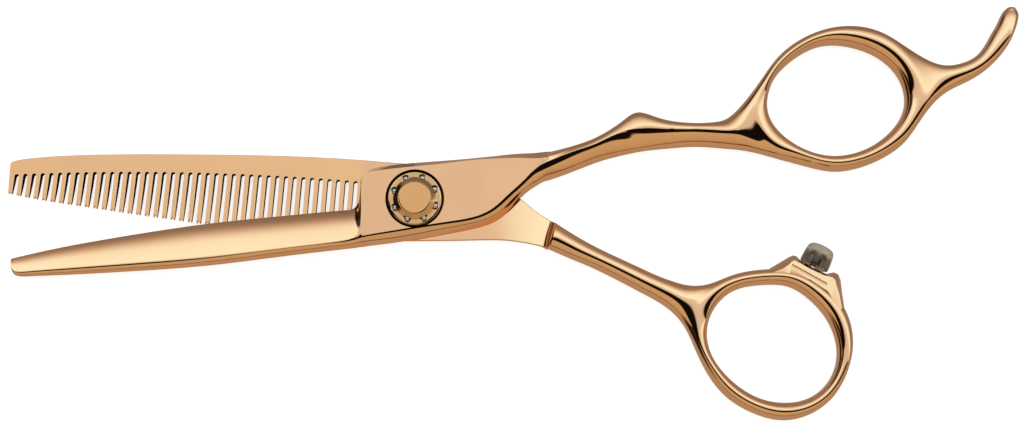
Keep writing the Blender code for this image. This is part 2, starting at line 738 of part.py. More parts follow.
def make_thumb_half(parts, cutters, finish):
    half = add_object("thumb_half", thumb_cage().mesh("thumb_half"), parts, finish)
    smooth(half, 1)
    pass_through(half)
    boolean(half, add_cutter("lug", lug_mesh(), cutters), "UNION")
    reach = LUG_DEPTH - LUG_SLOPE - GROOVE_DEPTH
    boolean(half, groove_cutter(cutters, "front_groove", SPLIT + reach, CUT))
    boolean(half, groove_cutter(cutters, "back_groove", -CUT, SPLIT - reach))
    hole = cylinder_mesh("pilot_hole", STEM_RADIUS + FIT, -STEM_DEPTH - FIT, 4, 16)
    pilot = add_cutter("pilot_hole", hole, cutters)
    pilot.matrix_world = lug_frame()
    boolean(half, pilot)
    boolean(half, add_cutter("teeth", tooth_cutters(), cutters))
    head = cylinder_mesh("head_seat", STUD_HEAD_RADIUS + FIT, -CUT, STUD_HEAD + FIT, 48)
    boolean(half, add_cutter("head_seat", head, cutters))
    square = NECK + 2 * FIT
    boolean(half, add_cutter("neck_hole", box_mesh("neck_hole", square, square, -CUT, CUT), cutters))
    seat = cylinder_mesh("washer_seat", WASHER_RADIUS + 0.2, BACK_INNER - 0.3, CUT, 48)
    boolean(half, add_cutter("washer_seat", seat, cutters))
    return half


# --- The pivot ---


def make_stud(parts, cutters, finish):
    chamfer = 0.15
    profile = [
        (0, 0), (0, STUD_HEAD), (STUD_HEAD_RADIUS, STUD_HEAD), (STUD_HEAD_RADIUS, chamfer),
        (STUD_HEAD_RADIUS - chamfer, 0),
    ]
    stud = add_object("pivot_stud", turned_mesh("pivot_stud", profile, 48), parts, finish)
    neck = box_mesh("stud_neck", NECK, NECK, STUD_HEAD / 2, BACK_INNER - 0.4)
    boolean(stud, add_cutter("stud_neck", neck, cutters), "UNION")
    shaft = cylinder_mesh("stud_shaft", STUD_RADIUS, STUD_HEAD / 2, STUD_TOP, 24)
    boolean(stud, add_cutter("stud_shaft", shaft, cutters), "UNION")
    hole = cylinder_mesh("stud_thread_hole", 0.9, STUD_TOP - 1.4, CUT, 16)
    boolean(stud, add_cutter("stud_thread_hole", hole, cutters))
    return stud


def ring_profile(inner, outer, low, high):
    return [(inner, low), (inner, high), (outer, high), (outer, low)]


def make_pivot_rings(parts, finishes):
    washer_low = BACK_INNER - 0.2
    race_low = RECESS_FLOOR + FIT
    rings = {
        "glide_washer": (1.7, WASHER_RADIUS, washer_low, washer_low + WASHER, "polymer"),
        "pivot_bush": (STUD_RADIUS + FIT, BORE_RADIUS - FIT, FRONT_INNER + 0.05, RECESS_FLOOR, "bronze"),
        "ball_race": (STUD_RADIUS + FIT, RACE_RADIUS, race_low, race_low + RACE, "steel"),
        "tension_nut": (STUD_RADIUS + FIT, DIAL_BORE - FIT, 4.95, 5.45, "brass"),
    }
    for name, (inner, outer, low, high, finish) in rings.items():
        add_object(name, turned_mesh(name, ring_profile(inner, outer, low, high)), parts, finishes[finish])


def make_spring(parts, finish):
    """A conical spring washer between the ball race and the nut."""
    rise, sheet = 0.22, 0.15
    low = RECESS_FLOOR + FIT + RACE + 0.05
    inner = STUD_RADIUS + FIT
    outer = DIAL_BORE - FIT
    profile = [(inner, low + rise), (inner, low + rise + sheet), (outer, low + sheet), (outer, low)]
    return add_object("tension_spring", turned_mesh("tension_spring", profile), parts, finish)


def ball_places():
    for number in range(BALLS):
        angle = BALL_PHASE + math.tau * number / BALLS
        yield Vector((math.cos(angle), math.sin(angle), 0)) * BALL_CIRCLE


def make_balls(parts, finish):
    height = RECESS_FLOOR + FIT + RACE + 0.05 + BALL_RADIUS
    for number, place in enumerate(ball_places(), 1):
        bm = bmesh.new()
        bmesh.ops.create_icosphere(bm, subdivisions=2, radius=BALL_RADIUS * MM)
        ball = add_object(f"ball_{number}", mesh_of("ball", bm), parts, finish)
        ball.location = (place + Vector((0, 0, height))) * MM


def make_dial(parts, cutters, finish):
    profile = [
        (DIAL_BORE, DIAL_BOTTOM), (DIAL_BORE, CAP_SEAT), (CAP_RADIUS + 0.07, CAP_SEAT),
        (CAP_RADIUS + 0.07, HUB_TOP), (CAP_RADIUS + 0.12, HUB_TOP), (HUB_RADIUS, FLANGE_TOP),
        (DIAL_RADIUS - 0.15, FLANGE_TOP), (DIAL_RADIUS, FLANGE_TOP - 0.15), (DIAL_RADIUS, DIAL_BOTTOM),
    ]
    dial = add_object("tension_dial", turned_mesh("tension_dial", profile, 48), parts, finish)
    bm = bmesh.new()
    depth = POCKET_TOP - DIAL_BOTTOM + 1
    for place in ball_places():
        spot = Matrix.Translation((place + Vector((0, 0, POCKET_TOP - depth / 2))) * MM)
        bmesh.ops.create_cone(
            bm, cap_ends=True, segments=16, radius1=POCKET_RADIUS * MM, radius2=POCKET_RADIUS * MM,
            depth=depth * MM, matrix=spot,
        )
    boolean(dial, add_cutter("ball_pockets", mesh_of("ball_pockets", bm), cutters))
    return dial


def make_lock_screw(parts, finish):
    low, head_low, head_top = STUD_TOP - 1.2, STUD_TOP + 0.05, CAP_SEAT - 0.05
    profile = [(0, low), (0, head_top), (1.9, head_top), (1.9, head_low), (0.8, head_low), (0.8, low)]
    return add_object("lock_screw", turned_mesh("lock_screw", profile, 24), parts, finish)


def make_cap(parts, finish):
    edge = 0.08
    low = CAP_SEAT + 0.05
    profile = [
        (0, low), (0, CAP_TOP), (CAP_RADIUS - edge, CAP_TOP),
        (CAP_RADIUS, CAP_TOP - edge), (CAP_RADIUS, low),
    ]
    return add_object("dial_cap", turned_mesh("dial_cap", profile, 48), parts, finish)


# --- The bumper ---


def make_bumper(parts, finishes):
    frame = lug_frame()
    bore, pocket = STEM_RADIUS + FIT, STEM_HEAD_RADIUS + FIT
    low, high = FIT, BUMPER_HEIGHT
    head_low, head_top = (high - depth for depth in STEM_HEAD)
    profile = [
        (bore, low), (bore, head_low), (pocket, head_low), (pocket, head_top), (0, head_top), (0, high),
        (1.5, high), (1.95, high - 0.2), (2.2, high - 0.65), (2.35, high - 1.2), (BUMPER_RADIUS, low + 0.3),
        (BUMPER_RADIUS - 0.2, low),
    ]
    bumper = add_object("bumper", turned_mesh("bumper", profile), parts, finishes["bumper"])
    bumper.matrix_world = frame
    stem = [
        (0, -STEM_DEPTH), (0, head_top - FIT), (STEM_HEAD_RADIUS, head_top - FIT),
        (STEM_HEAD_RADIUS, head_low + FIT), (STEM_RADIUS, head_low + FIT), (STEM_RADIUS, -STEM_DEPTH + 0.2),
        (STEM_RADIUS - 0.2, -STEM_DEPTH),
    ]
    pin = add_object("bumper_stem", turned_mesh("bumper_stem", stem, 16), parts, finishes["steel"])
    pin.matrix_world = frame


def main():
    clear_scene()
    parts = new_collection(NAME)
    cutters = new_collection("cutters")
    finishes = {
        "rose_gold": material("rose_gold", ROSE_GOLD, 1.0, 0.12),
        "dial_gold": material("dial_gold", (0.62, 0.40, 0.20), 1.0, 0.25),
        "steel": material("steel", (0.62, 0.60, 0.57), 1.0, 0.2),
        "bronze": material("bronze", (0.55, 0.34, 0.18), 1.0, 0.35),
        "brass": material("brass", (0.70, 0.52, 0.22), 1.0, 0.3),
        "polymer": material("polymer", (0.85, 0.84, 0.80), 0.0, 0.45),
        "bumper": material("bumper", (0.45, 0.36, 0.28), 0.0, 0.2),
    }
    make_finger_half(parts, cutters, finishes["rose_gold"])
    make_thumb_half(parts, cutters, finishes["rose_gold"])
    make_stud(parts, cutters, finishes["steel"])
    make_pivot_rings(parts, finishes)
    make_spring(parts, finishes["steel"])
    make_balls(parts, finishes["steel"])
    make_dial(parts, cutters, finishes["dial_gold"])
    make_lock_screw(parts, finishes["steel"])
    make_cap(parts, finishes["dial_gold"])
    make_bumper(parts, finishes)


main()
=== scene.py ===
"""Hair thinning shears as they look in the studio: rose gold halves, a dial pivot and a smoky bumper.

The cages are those of the CAD model, smoothed further. Working lengths are millimetres; MM turns them
into metres.
"""

import math

import bmesh
import bpy
from mathutils import Matrix, Vector


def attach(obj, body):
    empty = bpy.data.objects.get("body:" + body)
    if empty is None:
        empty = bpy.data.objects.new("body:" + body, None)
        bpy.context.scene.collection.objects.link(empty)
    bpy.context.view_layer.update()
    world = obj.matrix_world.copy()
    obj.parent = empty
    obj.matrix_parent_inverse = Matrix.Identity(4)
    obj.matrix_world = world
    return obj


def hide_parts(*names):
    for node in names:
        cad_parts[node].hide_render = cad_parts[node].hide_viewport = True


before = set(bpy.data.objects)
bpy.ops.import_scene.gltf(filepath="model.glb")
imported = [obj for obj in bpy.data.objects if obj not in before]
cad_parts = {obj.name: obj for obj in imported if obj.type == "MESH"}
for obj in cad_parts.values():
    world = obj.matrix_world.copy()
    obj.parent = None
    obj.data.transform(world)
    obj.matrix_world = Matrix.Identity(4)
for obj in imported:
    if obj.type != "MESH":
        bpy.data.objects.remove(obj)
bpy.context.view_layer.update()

MM = 0.001

# Heights above the resting plane.
SPLIT = 2.8
HALF_GAP = 0.15
PLATE = 2.2
FRONT_INNER = SPLIT + HALF_GAP
FRONT_FACE = FRONT_INNER + PLATE
BACK_INNER = SPLIT - HALF_GAP
BACK_FACE = BACK_INNER - PLATE
HANDLE_DEPTH = 2.7
SHANK_DEPTH = 2.6
# Where an oval's shoulders are, as shares of its half width and of its half height. The solid blade's
# shank falls away sooner at its lower shoulder, and its first section keeps more of a ridge there.
SHOULDER = (0.75, 0.745)
LOW_SHOULDER = (0.64, 0.7)
END_SHOULDER = (0.4, 0.87)
# Clearance round a fitted part, and the reach of a cut that goes right through.
FIT = 0.1
CUT = 20.0

# The solid blade of the finger half from tip to heel: cutting edge, spine, thickness, and the width of
# the strip between the spine and the ridge.
SOLID_BLADE = [
    ((-67.1, -9.85), (-67.0, -11.5), 0.7, 0.35),
    ((-66.45, -9.65), (-66.05, -12.7), 0.9, 0.5),
    ((-63.45, -8.95), (-62.9, -12.75), 1.1, 0.6),
    ((-56.9, -7.55), (-56.5, -12.5), 1.4, 0.75),
    ((-46.0, -5.65), (-45.8, -11.9), 1.75, 0.88),
    ((-34.05, -3.9), (-34.05, -11.0), 2.0, 0.93),
    ((-22.05, -2.65), (-22.35, -9.55), 2.1, 0.9),
    ((-13.05, -1.8), (-13.55, -8.5), 2.1, 0.92),
    ((-10.5, -1.5), (-10.9, -8.2), 2.1, 1.05),
]
# The thickness and the strip where the blade meets the plate.
BLADE_FOOT = (2.1, 1.15)
# The bevel along the flat face's lower edge: how wide and how steep it is at its left and right ends.
BEVEL_WIDTH = (0.28, 0.5)
BEVEL_SLOPE = (0.17, 0.22)

# The raised plate round the pivot, from its left end to the start of the shank: the upper outline, the
# upper and the lower edge of the flat face, and the lower outline.
PLATE_FRONT = [
    ((-9.4, -0.1), (-9.4, -0.4), (-9.8, -6.95), (-9.9, -8.05)),
    ((-9.15, 3.25), (-8.95, 2.9), (-8.85, -6.6), (-8.9, -7.9)),
    ((-8.5, 4.45), (-8.4, 3.9), (-8.3, -6.5), (-8.3, -7.85)),
    ((-7.3, 5.25), (-7.25, 4.5), (-7.1, -6.25), (-7.1, -7.65)),
    ((-2.55, 6.05), (-2.45, 5.15), (-2.4, -5.5), (-2.5, -7.05)),
    ((4.1, 6.6), (4.15, 5.8), (3.9, -4.5), (4.5, -5.75)),
    ((10.45, 7.15), (10.15, 6.5), (9.5, -3.6), (10.15, -4.6)),
    ((16.15, 7.75), (15.8, 6.8), (13.15, -2.05), (13.95, -3.05)),
    ((18.8, 7.9), (18.15, 6.8), (15.65, 0.15), (16.8, -0.5)),
    ((20.8, 8.05), (20.15, 6.75), (17.8, 2.1), (18.8, 1.45)),
    ((22.3, 8.2), (21.7, 6.9), (20.1, 4.35), (20.95, 2.85)),
]

# Where the flat face ends, on the first shank section, and how much of an oval that section already is.
FLAT_END = ((22.95, 7.2), (21.8, 5.5))
END_SHARE = 0.4
# The bevel's tail on the next sections: how much of the way from the ridge to the lower shoulder it
# takes, and how many sections it crosses.
RIDGE_SHARE = 0.16
RIDGED = 3
# Upper and lower edge, and where the front is highest, as a share of the way down.
FINGER_SHANK = [
    ((23.5, 8.5), (22.5, 3.6), 0.36),
    ((26.85, 9.3), (25.65, 4.7), 0.3),
    ((30.4, 10.7), (29.5, 6.2), 0.34),
    ((34.2, 13.05), (32.85, 7.25), 0.38),
    ((37.25, 14.9), (37.6, 8.3), 0.46),
    ((41.25, 13.75), (41.9, 8.8), 0.4),
    ((46.3, 13.05), (46.65, 9.15), 0.36),
    ((50.3, 13.25), (50.95, 8.9), 0.41),
    ((53.3, 14.75), (54.65, 8.5), 0.48),
]
# The finger ring, round its hole from the top and first towards the shank: inner and outer edge.
FINGER_RING = [
    ((70.6, 26.45), (71.7, 29.55)),
    ((65.55, 25.3), (65.8, 27.9)),
    ((61.35, 22.1), (60.9, 24.4)),
    ((59.45, 19.05), (57.3, 19.5)),
    ((58.9, 15.8), (55.4, 13.95)),
    ((59.95, 12.7), (58.25, 7.85)),
    ((62.7, 9.9), (62.65, 6.5)),
    ((66.3, 8.05), (66.75, 5.45)),
    ((70.6, 7.45), (71.05, 4.95)),
    ((75.45, 8.7), (76.45, 6.35)),
    ((79.45, 11.6), (81.2, 9.2)),
    ((81.6, 14.8), (84.2, 12.95)),
    ((81.95, 17.9), (85.95, 18.8)),
    ((80.65, 21.45), (82.7, 25.7)),
    ((76.7, 24.85), (77.5, 28.85)),
]
FINGER_SHANK_JOIN = 3
TANG_JOIN = 11
# The finger rest beyond the ring: upper and lower edge, and depth.
TANG = [
    ((87.55, 23.2), (88.0, 17.55), 2.1),
    ((91.55, 23.25), (92.65, 20.2), 2.1),
    ((94.65, 24.95), (96.35, 22.65), 2.1),
    ((96.65, 28.0), (99.1, 25.65), 2.1),
    ((97.65, 29.65), (100.6, 28.3), 2.0),
    ((98.4, 31.2), (101.45, 30.9), 1.8),
    ((99.0, 32.2), (101.35, 32.1), 1.4),
    ((99.7, 32.8), (100.9, 32.8), 0.9),
]

# The toothed blade of the thumb half: spine and tooth-tip line, from tip to heel, then its pivot plate.
TOOTHED_BLADE = [
    ((-67.75, 6.35), (-68.0, 1.3)),
    ((-66.8, 6.85), (-66.6, 1.0)),
    ((-62.4, 7.4), (-62.2, 0.2)),
    ((-54.35, 7.8), (-54.15, -1.0)),
    ((-43.3, 7.9), (-43.1, -2.6)),
    ((-31.25, 7.8), (-31.05, -4.2)),
    ((-19.2, 7.5), (-19.05, -5.8)),
    ((-9.55, 6.95), (-9.65, -7.0)),
]
PLATE_BACK = [
    ((-4.75, 6.55), (-5.05, -6.9)),
    ((0.85, 6.05), (0.75, -6.8)),
    ((6.3, 4.95), (6.15, -6.75)),
    ((11.3, 3.0), (10.95, -6.65)),
    ((15.9, 1.5), (15.1, -6.7)),
    ((19.8, -1.45), (18.7, -7.2)),
    ((21.9, -2.85), (20.6, -7.6)),
]
# How far the back plate's inside falls away along its upper edge, and where that starts and is complete.
RELIEF = 0.4
RELIEF_SPAN = (10.0, 16.0)
# The fillet at the step up to the shank: its sections, and how far each has risen.
STEP = [
    ((22.75, -3.4), (21.45, -7.95), 0.12),
    ((23.35, -3.75), (22.1, -8.2), 0.5),
]
THUMB_SHANK = [
    ((23.65, -4.0), (22.4, -8.3)),
    ((27.05, -6.17), (25.55, -9.68)),
    ((31.3, -8.47), (29.65, -11.38)),
    ((36.0, -10.67), (34.05, -13.58)),
    ((40.05, -12.55), (37.95, -15.65)),
    ((43.0, -13.65), (40.95, -17.35)),
    ((45.7, -14.25), (43.45, -19.5)),
]
THUMB_RING = [
    ((58.15, -14.15), (57.7, -11.65)),
    ((53.95, -14.75), (53.0, -12.45)),
    ((50.85, -16.65), (48.9, -14.05)),
    ((48.9, -19.6), (45.95, -17.35)),
    ((48.4, -23.1), (45.45, -22.4)),
    ((49.6, -26.8), (47.5, -27.2)),
    ((52.65, -30.35), (50.9, -32.2)),
    ((56.6, -32.85), (55.75, -35.35)),
    ((60.85, -33.7), (60.8, -36.6)),
    ((65.0, -32.95), (65.85, -35.3)),
    ((68.4, -30.1), (70.05, -31.45)),
    ((69.85, -25.45), (72.45, -24.7)),
    ((68.5, -20.35), (71.2, -18.1)),
    ((65.45, -16.6), (67.3, -14.0)),
    ((62.0, -14.45), (62.85, -11.85)),
]
THUMB_SHANK_JOIN = 2

# The teeth: slots of one width and pitch, cut from the edge up to a shallow curve.
SLOTS = 40
SLOT_WIDTH = 0.73
SLOT_START = -66.58
SLOT_PITCH = 1.4517
SLOT_TOP = (4.49, 2.4, -3.59)
SLOT_LEAN = (math.radians(6.5), math.radians(4.0))
NOTCH_WIDTH = 0.5
NOTCH_DEPTH = 0.45

# The pivot, from the resting plane up.
STUD_HEAD_RADIUS = 4.0
STUD_HEAD = 0.85
NECK = 3.4
WASHER_RADIUS = 4.5
# The washer's seat in the thumb half: its play all round, and its depth.
WASHER_SEAT = (0.2, 0.3)
BORE_RADIUS = 2.3
RECESS_RADIUS = 4.8
RECESS_FLOOR = 4.0
RACE = 0.3
BALLS = 8
# Between the race and the balls.
BALL_GAP = 0.05
BALL_RADIUS = 0.5
BALL_CIRCLE = 3.6
BALL_PHASE = math.radians(25.0)
POCKET_RADIUS = 0.7
DIAL_BOTTOM = 4.7
DIAL_RADIUS = 4.5
FLANGE_TOP = 5.35
HUB_RADIUS = 3.55
HUB_TOP = 6.15
DIAL_BORE = 2.45
POCKET_TOP = 5.5
CAP_RADIUS = 2.65
CAP_SEAT = 5.9
CAP_TOP = 6.25

# The lug on the thumb ring, as pairs of its outline and of its front face's outline.
LUG = [
    ((58.65, -11.6), (59.1, -12.4)),
    ((60.5, -10.5), (60.9, -11.75)),
    ((62.0, -9.6), (61.85, -11.1)),
    ((62.85, -9.2), (62.45, -10.5)),
    ((63.5, -9.4), (62.85, -10.3)),
    ((64.0, -10.0), (63.6, -10.7)),
    ((66.15, -11.2), (65.65, -11.85)),
    ((68.3, -12.35), (67.85, -12.85)),
    ((68.8, -12.2), (68.5, -12.95)),
    ((69.6, -12.05), (69.15, -13.15)),
    ((70.35, -12.4), (69.55, -13.6)),
    ((70.7, -13.35), (69.7, -14.4)),
    ((70.9, -15.35), (70.1, -15.9)),
    ((71.25, -18.0), (70.45, -18.25)),
    ((70.15, -19.0), (70.15, -19.0)),
    ((68.25, -15.5), (68.25, -15.5)),
    ((65.3, -13.5), (65.3, -13.5)),
    ((61.5, -12.5), (61.5, -12.5)),
]
# Half the lug's thickness by the ring, how much of it each millimetre outwards takes off, and its
# flanks' layers and how round they are.
LUG_DEPTH = 2.55
LUG_SLOPE = 0.25
LUG_STEPS = 4
LUG_FLANK = 1.5
# The groove along the lug's front, and the one along its back.
GROOVE = ((62.35, -11.13), (68.1, -14.35))
GROOVE_WIDTH = 0.5
GROOVE_DEPTH = 0.5
# The bumper in the lug, and its stem.
BUMPER_FOOT = (66.2, -11.1)
BUMPER_LEAN = math.radians(26.0)
BUMPER_RADIUS = 2.5
BUMPER_HEIGHT = 3.75
STEM_RADIUS = 0.75
STEM_DEPTH = 2.0
STEM_HEAD_RADIUS = 1.3
# The stem head's pocket, measured down from the bumper's top.
STEM_HEAD = (2.2, 1.4)
# How far above the bumper's foot the cut for the stem's hole starts.
PILOT_TOP = 4.0

# --- Materials ---

ROSE_LIGHT, ROSE_DARK = (0.93, 0.615, 0.40), (0.90, 0.585, 0.37)
# The bumper's colour by height from its foot to its top: its own smoky tint above, and darker towards
# the foot, where the dark stem seen through it is painted in as shade.
SMOKE_AND_PAINTED_DARK_FOOT = [
    (0.0, (0.10, 0.08, 0.055)),
    (0.5, (0.13, 0.105, 0.075)),
    (0.66, (0.40, 0.34, 0.27)),
    (1.0, (0.44, 0.37, 0.30)),
]
# Over how much of the height cloudiness moves that tint up and down.
CLOUD_SPREAD = 0.24
# The part of a noise's range that goes from the one colour or roughness to the other.
NOISE_SPAN = (0.3, 0.7)
# How deep polishing and tool marks are, in metres.
MARK_DEPTH = 0.00001
# Scales of noises: uneven colour of a metal, tool marks, grain of a plastic and of paper, cloudiness.
UNEVENNESS = 140.0
TOOL_MARKS = 9000.0
PLASTIC_GRAIN = 2500.0
PAPER_GRAIN = 400.0
CLOUDINESS = 900.0


class Nodes:
    """A short way to add and join shader nodes."""

    def __init__(self, tree):
        self.tree = tree

    def add(self, kind, settings=None, **values):
        node = self.tree.nodes.new(kind)
        for name, value in (settings or {}).items():
            setattr(node, name, value)
        for name, value in values.items():
            socket = node.inputs[name.replace("_", " ")]
            if isinstance(value, bpy.types.NodeSocket):
                self.tree.links.new(value, socket)
            else:
                socket.default_value = value
        return node

    def link(self, source, target):
        self.tree.links.new(source, target)

    def places(self, scale=(1.0, 1.0, 1.0)):
        """Object positions in metres, scaled for a noise."""
        where = self.add("ShaderNodeTexCoord")
        mapping = self.add("ShaderNodeMapping", Vector=where.outputs["Object"])
        mapping.inputs["Scale"].default_value = scale
        return mapping.outputs["Vector"]

    def noise(self, vector, scale, detail=3.0):
        node = self.add("ShaderNodeTexNoise", Vector=vector, Scale=scale, Detail=detail)
        return node.outputs["Fac"]

    def ramp(self, value, stops):
        node = self.add("ShaderNodeValToRGB", Fac=value)
        elements = node.color_ramp.elements
        while len(elements) < len(stops):
            elements.new(1.0)
        for element, (place, colour) in zip(elements, stops):
            element.position = place
            element.color = (*colour, 1.0) if len(colour) == 3 else (colour[0],) * 3 + (1.0,)
        return node.outputs["Color"]

    def spread(self, noise, low, high, socket):
        """Drives a socket from one colour to another, or one number to another, by a noise."""
        ends = [end if isinstance(end, tuple) else (end,) for end in (low, high)]
        self.link(self.ramp(noise, list(zip(NOISE_SPAN, ends))), socket)

    def marks(self, shader, height, strength):
        """Gives a surface shallow relief."""
        relief = self.add("ShaderNodeBump", Strength=strength, Distance=MARK_DEPTH, Height=height)
        self.link(relief.outputs["Normal"], shader.inputs["Normal"])


def new_material(name):
    made = bpy.data.materials.new(name)
    made.use_nodes = True
    tree = made.node_tree
    return made, Nodes(tree), tree.nodes["Principled BSDF"]


def metal(name, light, dark, roughness, streaks, bump, scale=(1.0, 1.0, 1.0)):
    """A metal with faint streaks, which scale stretches."""
    made, nodes, shader = new_material(name)
    fine = nodes.noise(nodes.places(scale), streaks, 4.0)
    broad = nodes.noise(nodes.places(), UNEVENNESS, 2.0)
    nodes.spread(broad, dark, light, shader.inputs["Base Color"])
    nodes.spread(fine, *roughness, shader.inputs["Roughness"])
    shader.inputs["Metallic"].default_value = 1.0
    nodes.marks(shader, fine, bump)
    return made


def turned(name, light, dark, roughness):
    """Fine circular tool marks round the pivot axis."""
    made, nodes, shader = new_material(name)
    flat = nodes.add("ShaderNodeVectorMath", {"operation": "MULTIPLY"})
    nodes.link(nodes.places(), flat.inputs[0])
    flat.inputs[1].default_value = (1.0, 1.0, 0.0)
    radius = nodes.add("ShaderNodeVectorMath", {"operation": "LENGTH"})
    nodes.link(flat.outputs["Vector"], radius.inputs[0])
    noise = nodes.add(
        "ShaderNodeTexNoise", {"noise_dimensions": "1D"},
        W=radius.outputs["Value"], Scale=TOOL_MARKS, Detail=2.0,
    )
    rings = noise.outputs["Fac"]
    nodes.spread(rings, dark, light, shader.inputs["Base Color"])
    nodes.spread(rings, *roughness, shader.inputs["Roughness"])
    nodes.marks(shader, rings, 0.1)
    shader.inputs["Metallic"].default_value = 1.0
    return made


def plastic(name, light, dark, roughness):
    made, nodes, shader = new_material(name)
    grain = nodes.noise(nodes.places(), PLASTIC_GRAIN)
    nodes.spread(grain, dark, light, shader.inputs["Base Color"])
    nodes.spread(grain, *roughness, shader.inputs["Roughness"])
    return made


def smoky(name):
    """Cast translucent polymer: a brown tint with faint cloudiness, and painted shade towards its foot.
    """
    made, nodes, shader = new_material(name)
    cloud = nodes.noise(nodes.places(), CLOUDINESS, 3.0)
    split = nodes.add("ShaderNodeSeparateXYZ", Vector=nodes.places())
    height = nodes.add("ShaderNodeMath", {"operation": "MULTIPLY_ADD"})
    nodes.link(split.outputs["Z"], height.inputs[0])
    height.inputs[1].default_value = 1.0 / (BUMPER_HEIGHT * MM)
    height.inputs[2].default_value = -CLOUD_SPREAD / 2
    blend = nodes.add("ShaderNodeMath", {"operation": "MULTIPLY_ADD"})
    nodes.link(cloud, blend.inputs[0])
    blend.inputs[1].default_value = CLOUD_SPREAD
    nodes.link(height.outputs["Value"], blend.inputs[2])
    nodes.link(nodes.ramp(blend.outputs["Value"], SMOKE_AND_PAINTED_DARK_FOOT), shader.inputs["Base Color"])
    nodes.spread(cloud, 0.04, 0.10, shader.inputs["Roughness"])
    shader.inputs["Transmission Weight"].default_value = 0.85
    shader.inputs["IOR"].default_value = 1.49
    return made


# Each one's name, light and dark colour, lowest and highest roughness, how fine and how deep its streaks
# are, and how they are stretched if they are.
METALS = {
    "polished": ("rose_gold_polished", ROSE_LIGHT, ROSE_DARK, (0.04, 0.07), 900.0, 0.02),
    "satin": (
        "rose_gold_satin", (0.97, 0.63, 0.37), (0.94, 0.60, 0.35), (0.12, 0.18), 220.0, 0.05,
        (1.0, 14.0, 1.0),
    ),
    # Near-black for the recess round the balls and the slots' walls: painted shade.
    "burnished": (
        "slot_and_recess_painted_shade", (0.035, 0.025, 0.02), (0.02, 0.015, 0.012), (0.35, 0.50), 1500.0, 0.05,
    ),
    # A darker copy of the rose gold for the plate's upper side: painted shade.
    "shaded": ("painted_shade_rose_gold", (0.42, 0.27, 0.18), (0.36, 0.23, 0.15), (0.10, 0.16), 900.0, 0.02),
    "dial": ("dial_gold_polished", (0.78, 0.52, 0.27), (0.74, 0.49, 0.25), (0.10, 0.16), 1800.0, 0.05),
    "steel": ("bearing_steel", (0.80, 0.79, 0.77), (0.74, 0.73, 0.71), (0.05, 0.10), 1500.0, 0.03),
    "bronze": ("bush_bronze", (0.66, 0.43, 0.22), (0.56, 0.35, 0.17), (0.28, 0.40), 1500.0, 0.1),
}


def all_materials():
    made = {finish: metal(*values) for finish, values in METALS.items()}
    made["turned"] = turned("dial_gold_turned", (0.83, 0.51, 0.25), (0.78, 0.47, 0.22), (0.09, 0.14))
    made["polymer"] = plastic("washer_polymer", (0.86, 0.85, 0.81), (0.80, 0.79, 0.75), (0.40, 0.50))
    made["smoky"] = smoky("smoky_polymer")
    # A metal turns white at grazing angles, and the slots' walls are seen at such angles, but their
    # painted shade stays dark.
    shader = made["burnished"].node_tree.nodes["Principled BSDF"]
    shader.inputs["Specular Tint"].default_value = (0.0, 0.0, 0.0, 1.0)
    return made


# --- Cages: closed rings of eight or ten points, joined into tubes and smoothed ---
# The points go from the upper edge over the front face to the lower edge, and back under it.


def at(point, height):
    return Vector((point.x, point.y, height)) * MM


def oval_section(upper, lower, depth, crest=0.5, low_shoulder=SHOULDER):
    """An upright oval, fuller than an ellipse, between the outlines and highest in front at crest."""
    high, low = Vector(upper), Vector(lower)
    middle, ridge = (high + low) / 2, high.lerp(low, crest)
    across, side = SHOULDER[0], depth * SHOULDER[1]
    reach, drop = low_shoulder
    return [
        at(high, SPLIT), at(ridge.lerp(high, across), SPLIT + side),
        at(ridge, SPLIT + depth), at(ridge.lerp(low, reach), SPLIT + depth * drop),
        at(low, SPLIT), at(middle.lerp(low, across), SPLIT - side),
        at(middle, SPLIT - depth), at(middle.lerp(high, across), SPLIT - side),
    ]


def inset(start, towards, distance):
    return start + (towards - start).normalized() * distance


def solid_blade_section(edge, spine, thickness, strip):
    """Ten points: a face steep by the cutting edge, a ridge, a strip below it and a flat inside."""
    high, low = Vector(edge), Vector(spine)
    ridge = inset(low, high, strip)
    inner = FRONT_INNER
    return [
        at(high, inner + 0.1), at(high.lerp(ridge, 0.2), inner + thickness * 0.46),
        at(high.lerp(ridge, 0.5), inner + thickness * 0.8),
        at(inset(ridge, high, strip * 0.35), inner + thickness),
        at(ridge, inner + thickness * 0.965), at(ridge.lerp(low, 0.55), inner + thickness * 0.74),
        at(low, inner + thickness * 0.25), at(inset(low, high, 0.15), inner),
        at(high.lerp(low, 0.5), inner), at(high, inner),
    ]


def front_plate_section(upper, near, far, lower, uphill):
    """Ten points: a steep upper side, a flat face, a bevel, a convex lower side and a flat inside.

    The bevel is measured square to the flat face's lower edge, along uphill.
    """
    high, low, flat, turn = Vector(upper), Vector(lower), Vector(near), Vector(far)
    inner = FRONT_INNER
    left, right = PLATE_FRONT[0][2][0], PLATE_FRONT[-1][2][0]
    share = min(1.0, (turn.x - left) / (right - left))
    width = BEVEL_WIDTH[0] + (BEVEL_WIDTH[1] - BEVEL_WIDTH[0]) * share
    drop = width * (BEVEL_SLOPE[0] + (BEVEL_SLOPE[1] - BEVEL_SLOPE[0]) * share)
    return [
        at(high, inner + 0.3), at(flat, FRONT_FACE), at(flat.lerp(turn, 0.5), FRONT_FACE),
        at(turn + uphill * width, FRONT_FACE), at(turn, FRONT_FACE - drop),
        at(turn.lerp(low, 0.55), FRONT_FACE - PLATE * 0.32), at(low, inner + 0.3),
        at(inset(low, high, 0.2), inner), at(high.lerp(low, 0.5), inner),
        at(inset(high, low, 0.2), inner),
    ]


def shared(ring):
    """A ring of eight named as ten, so that it joins a ring of ten."""
    return [ring[number] for number in (0, 1, 2, 2, 3, 3, 4, 5, 6, 7)]


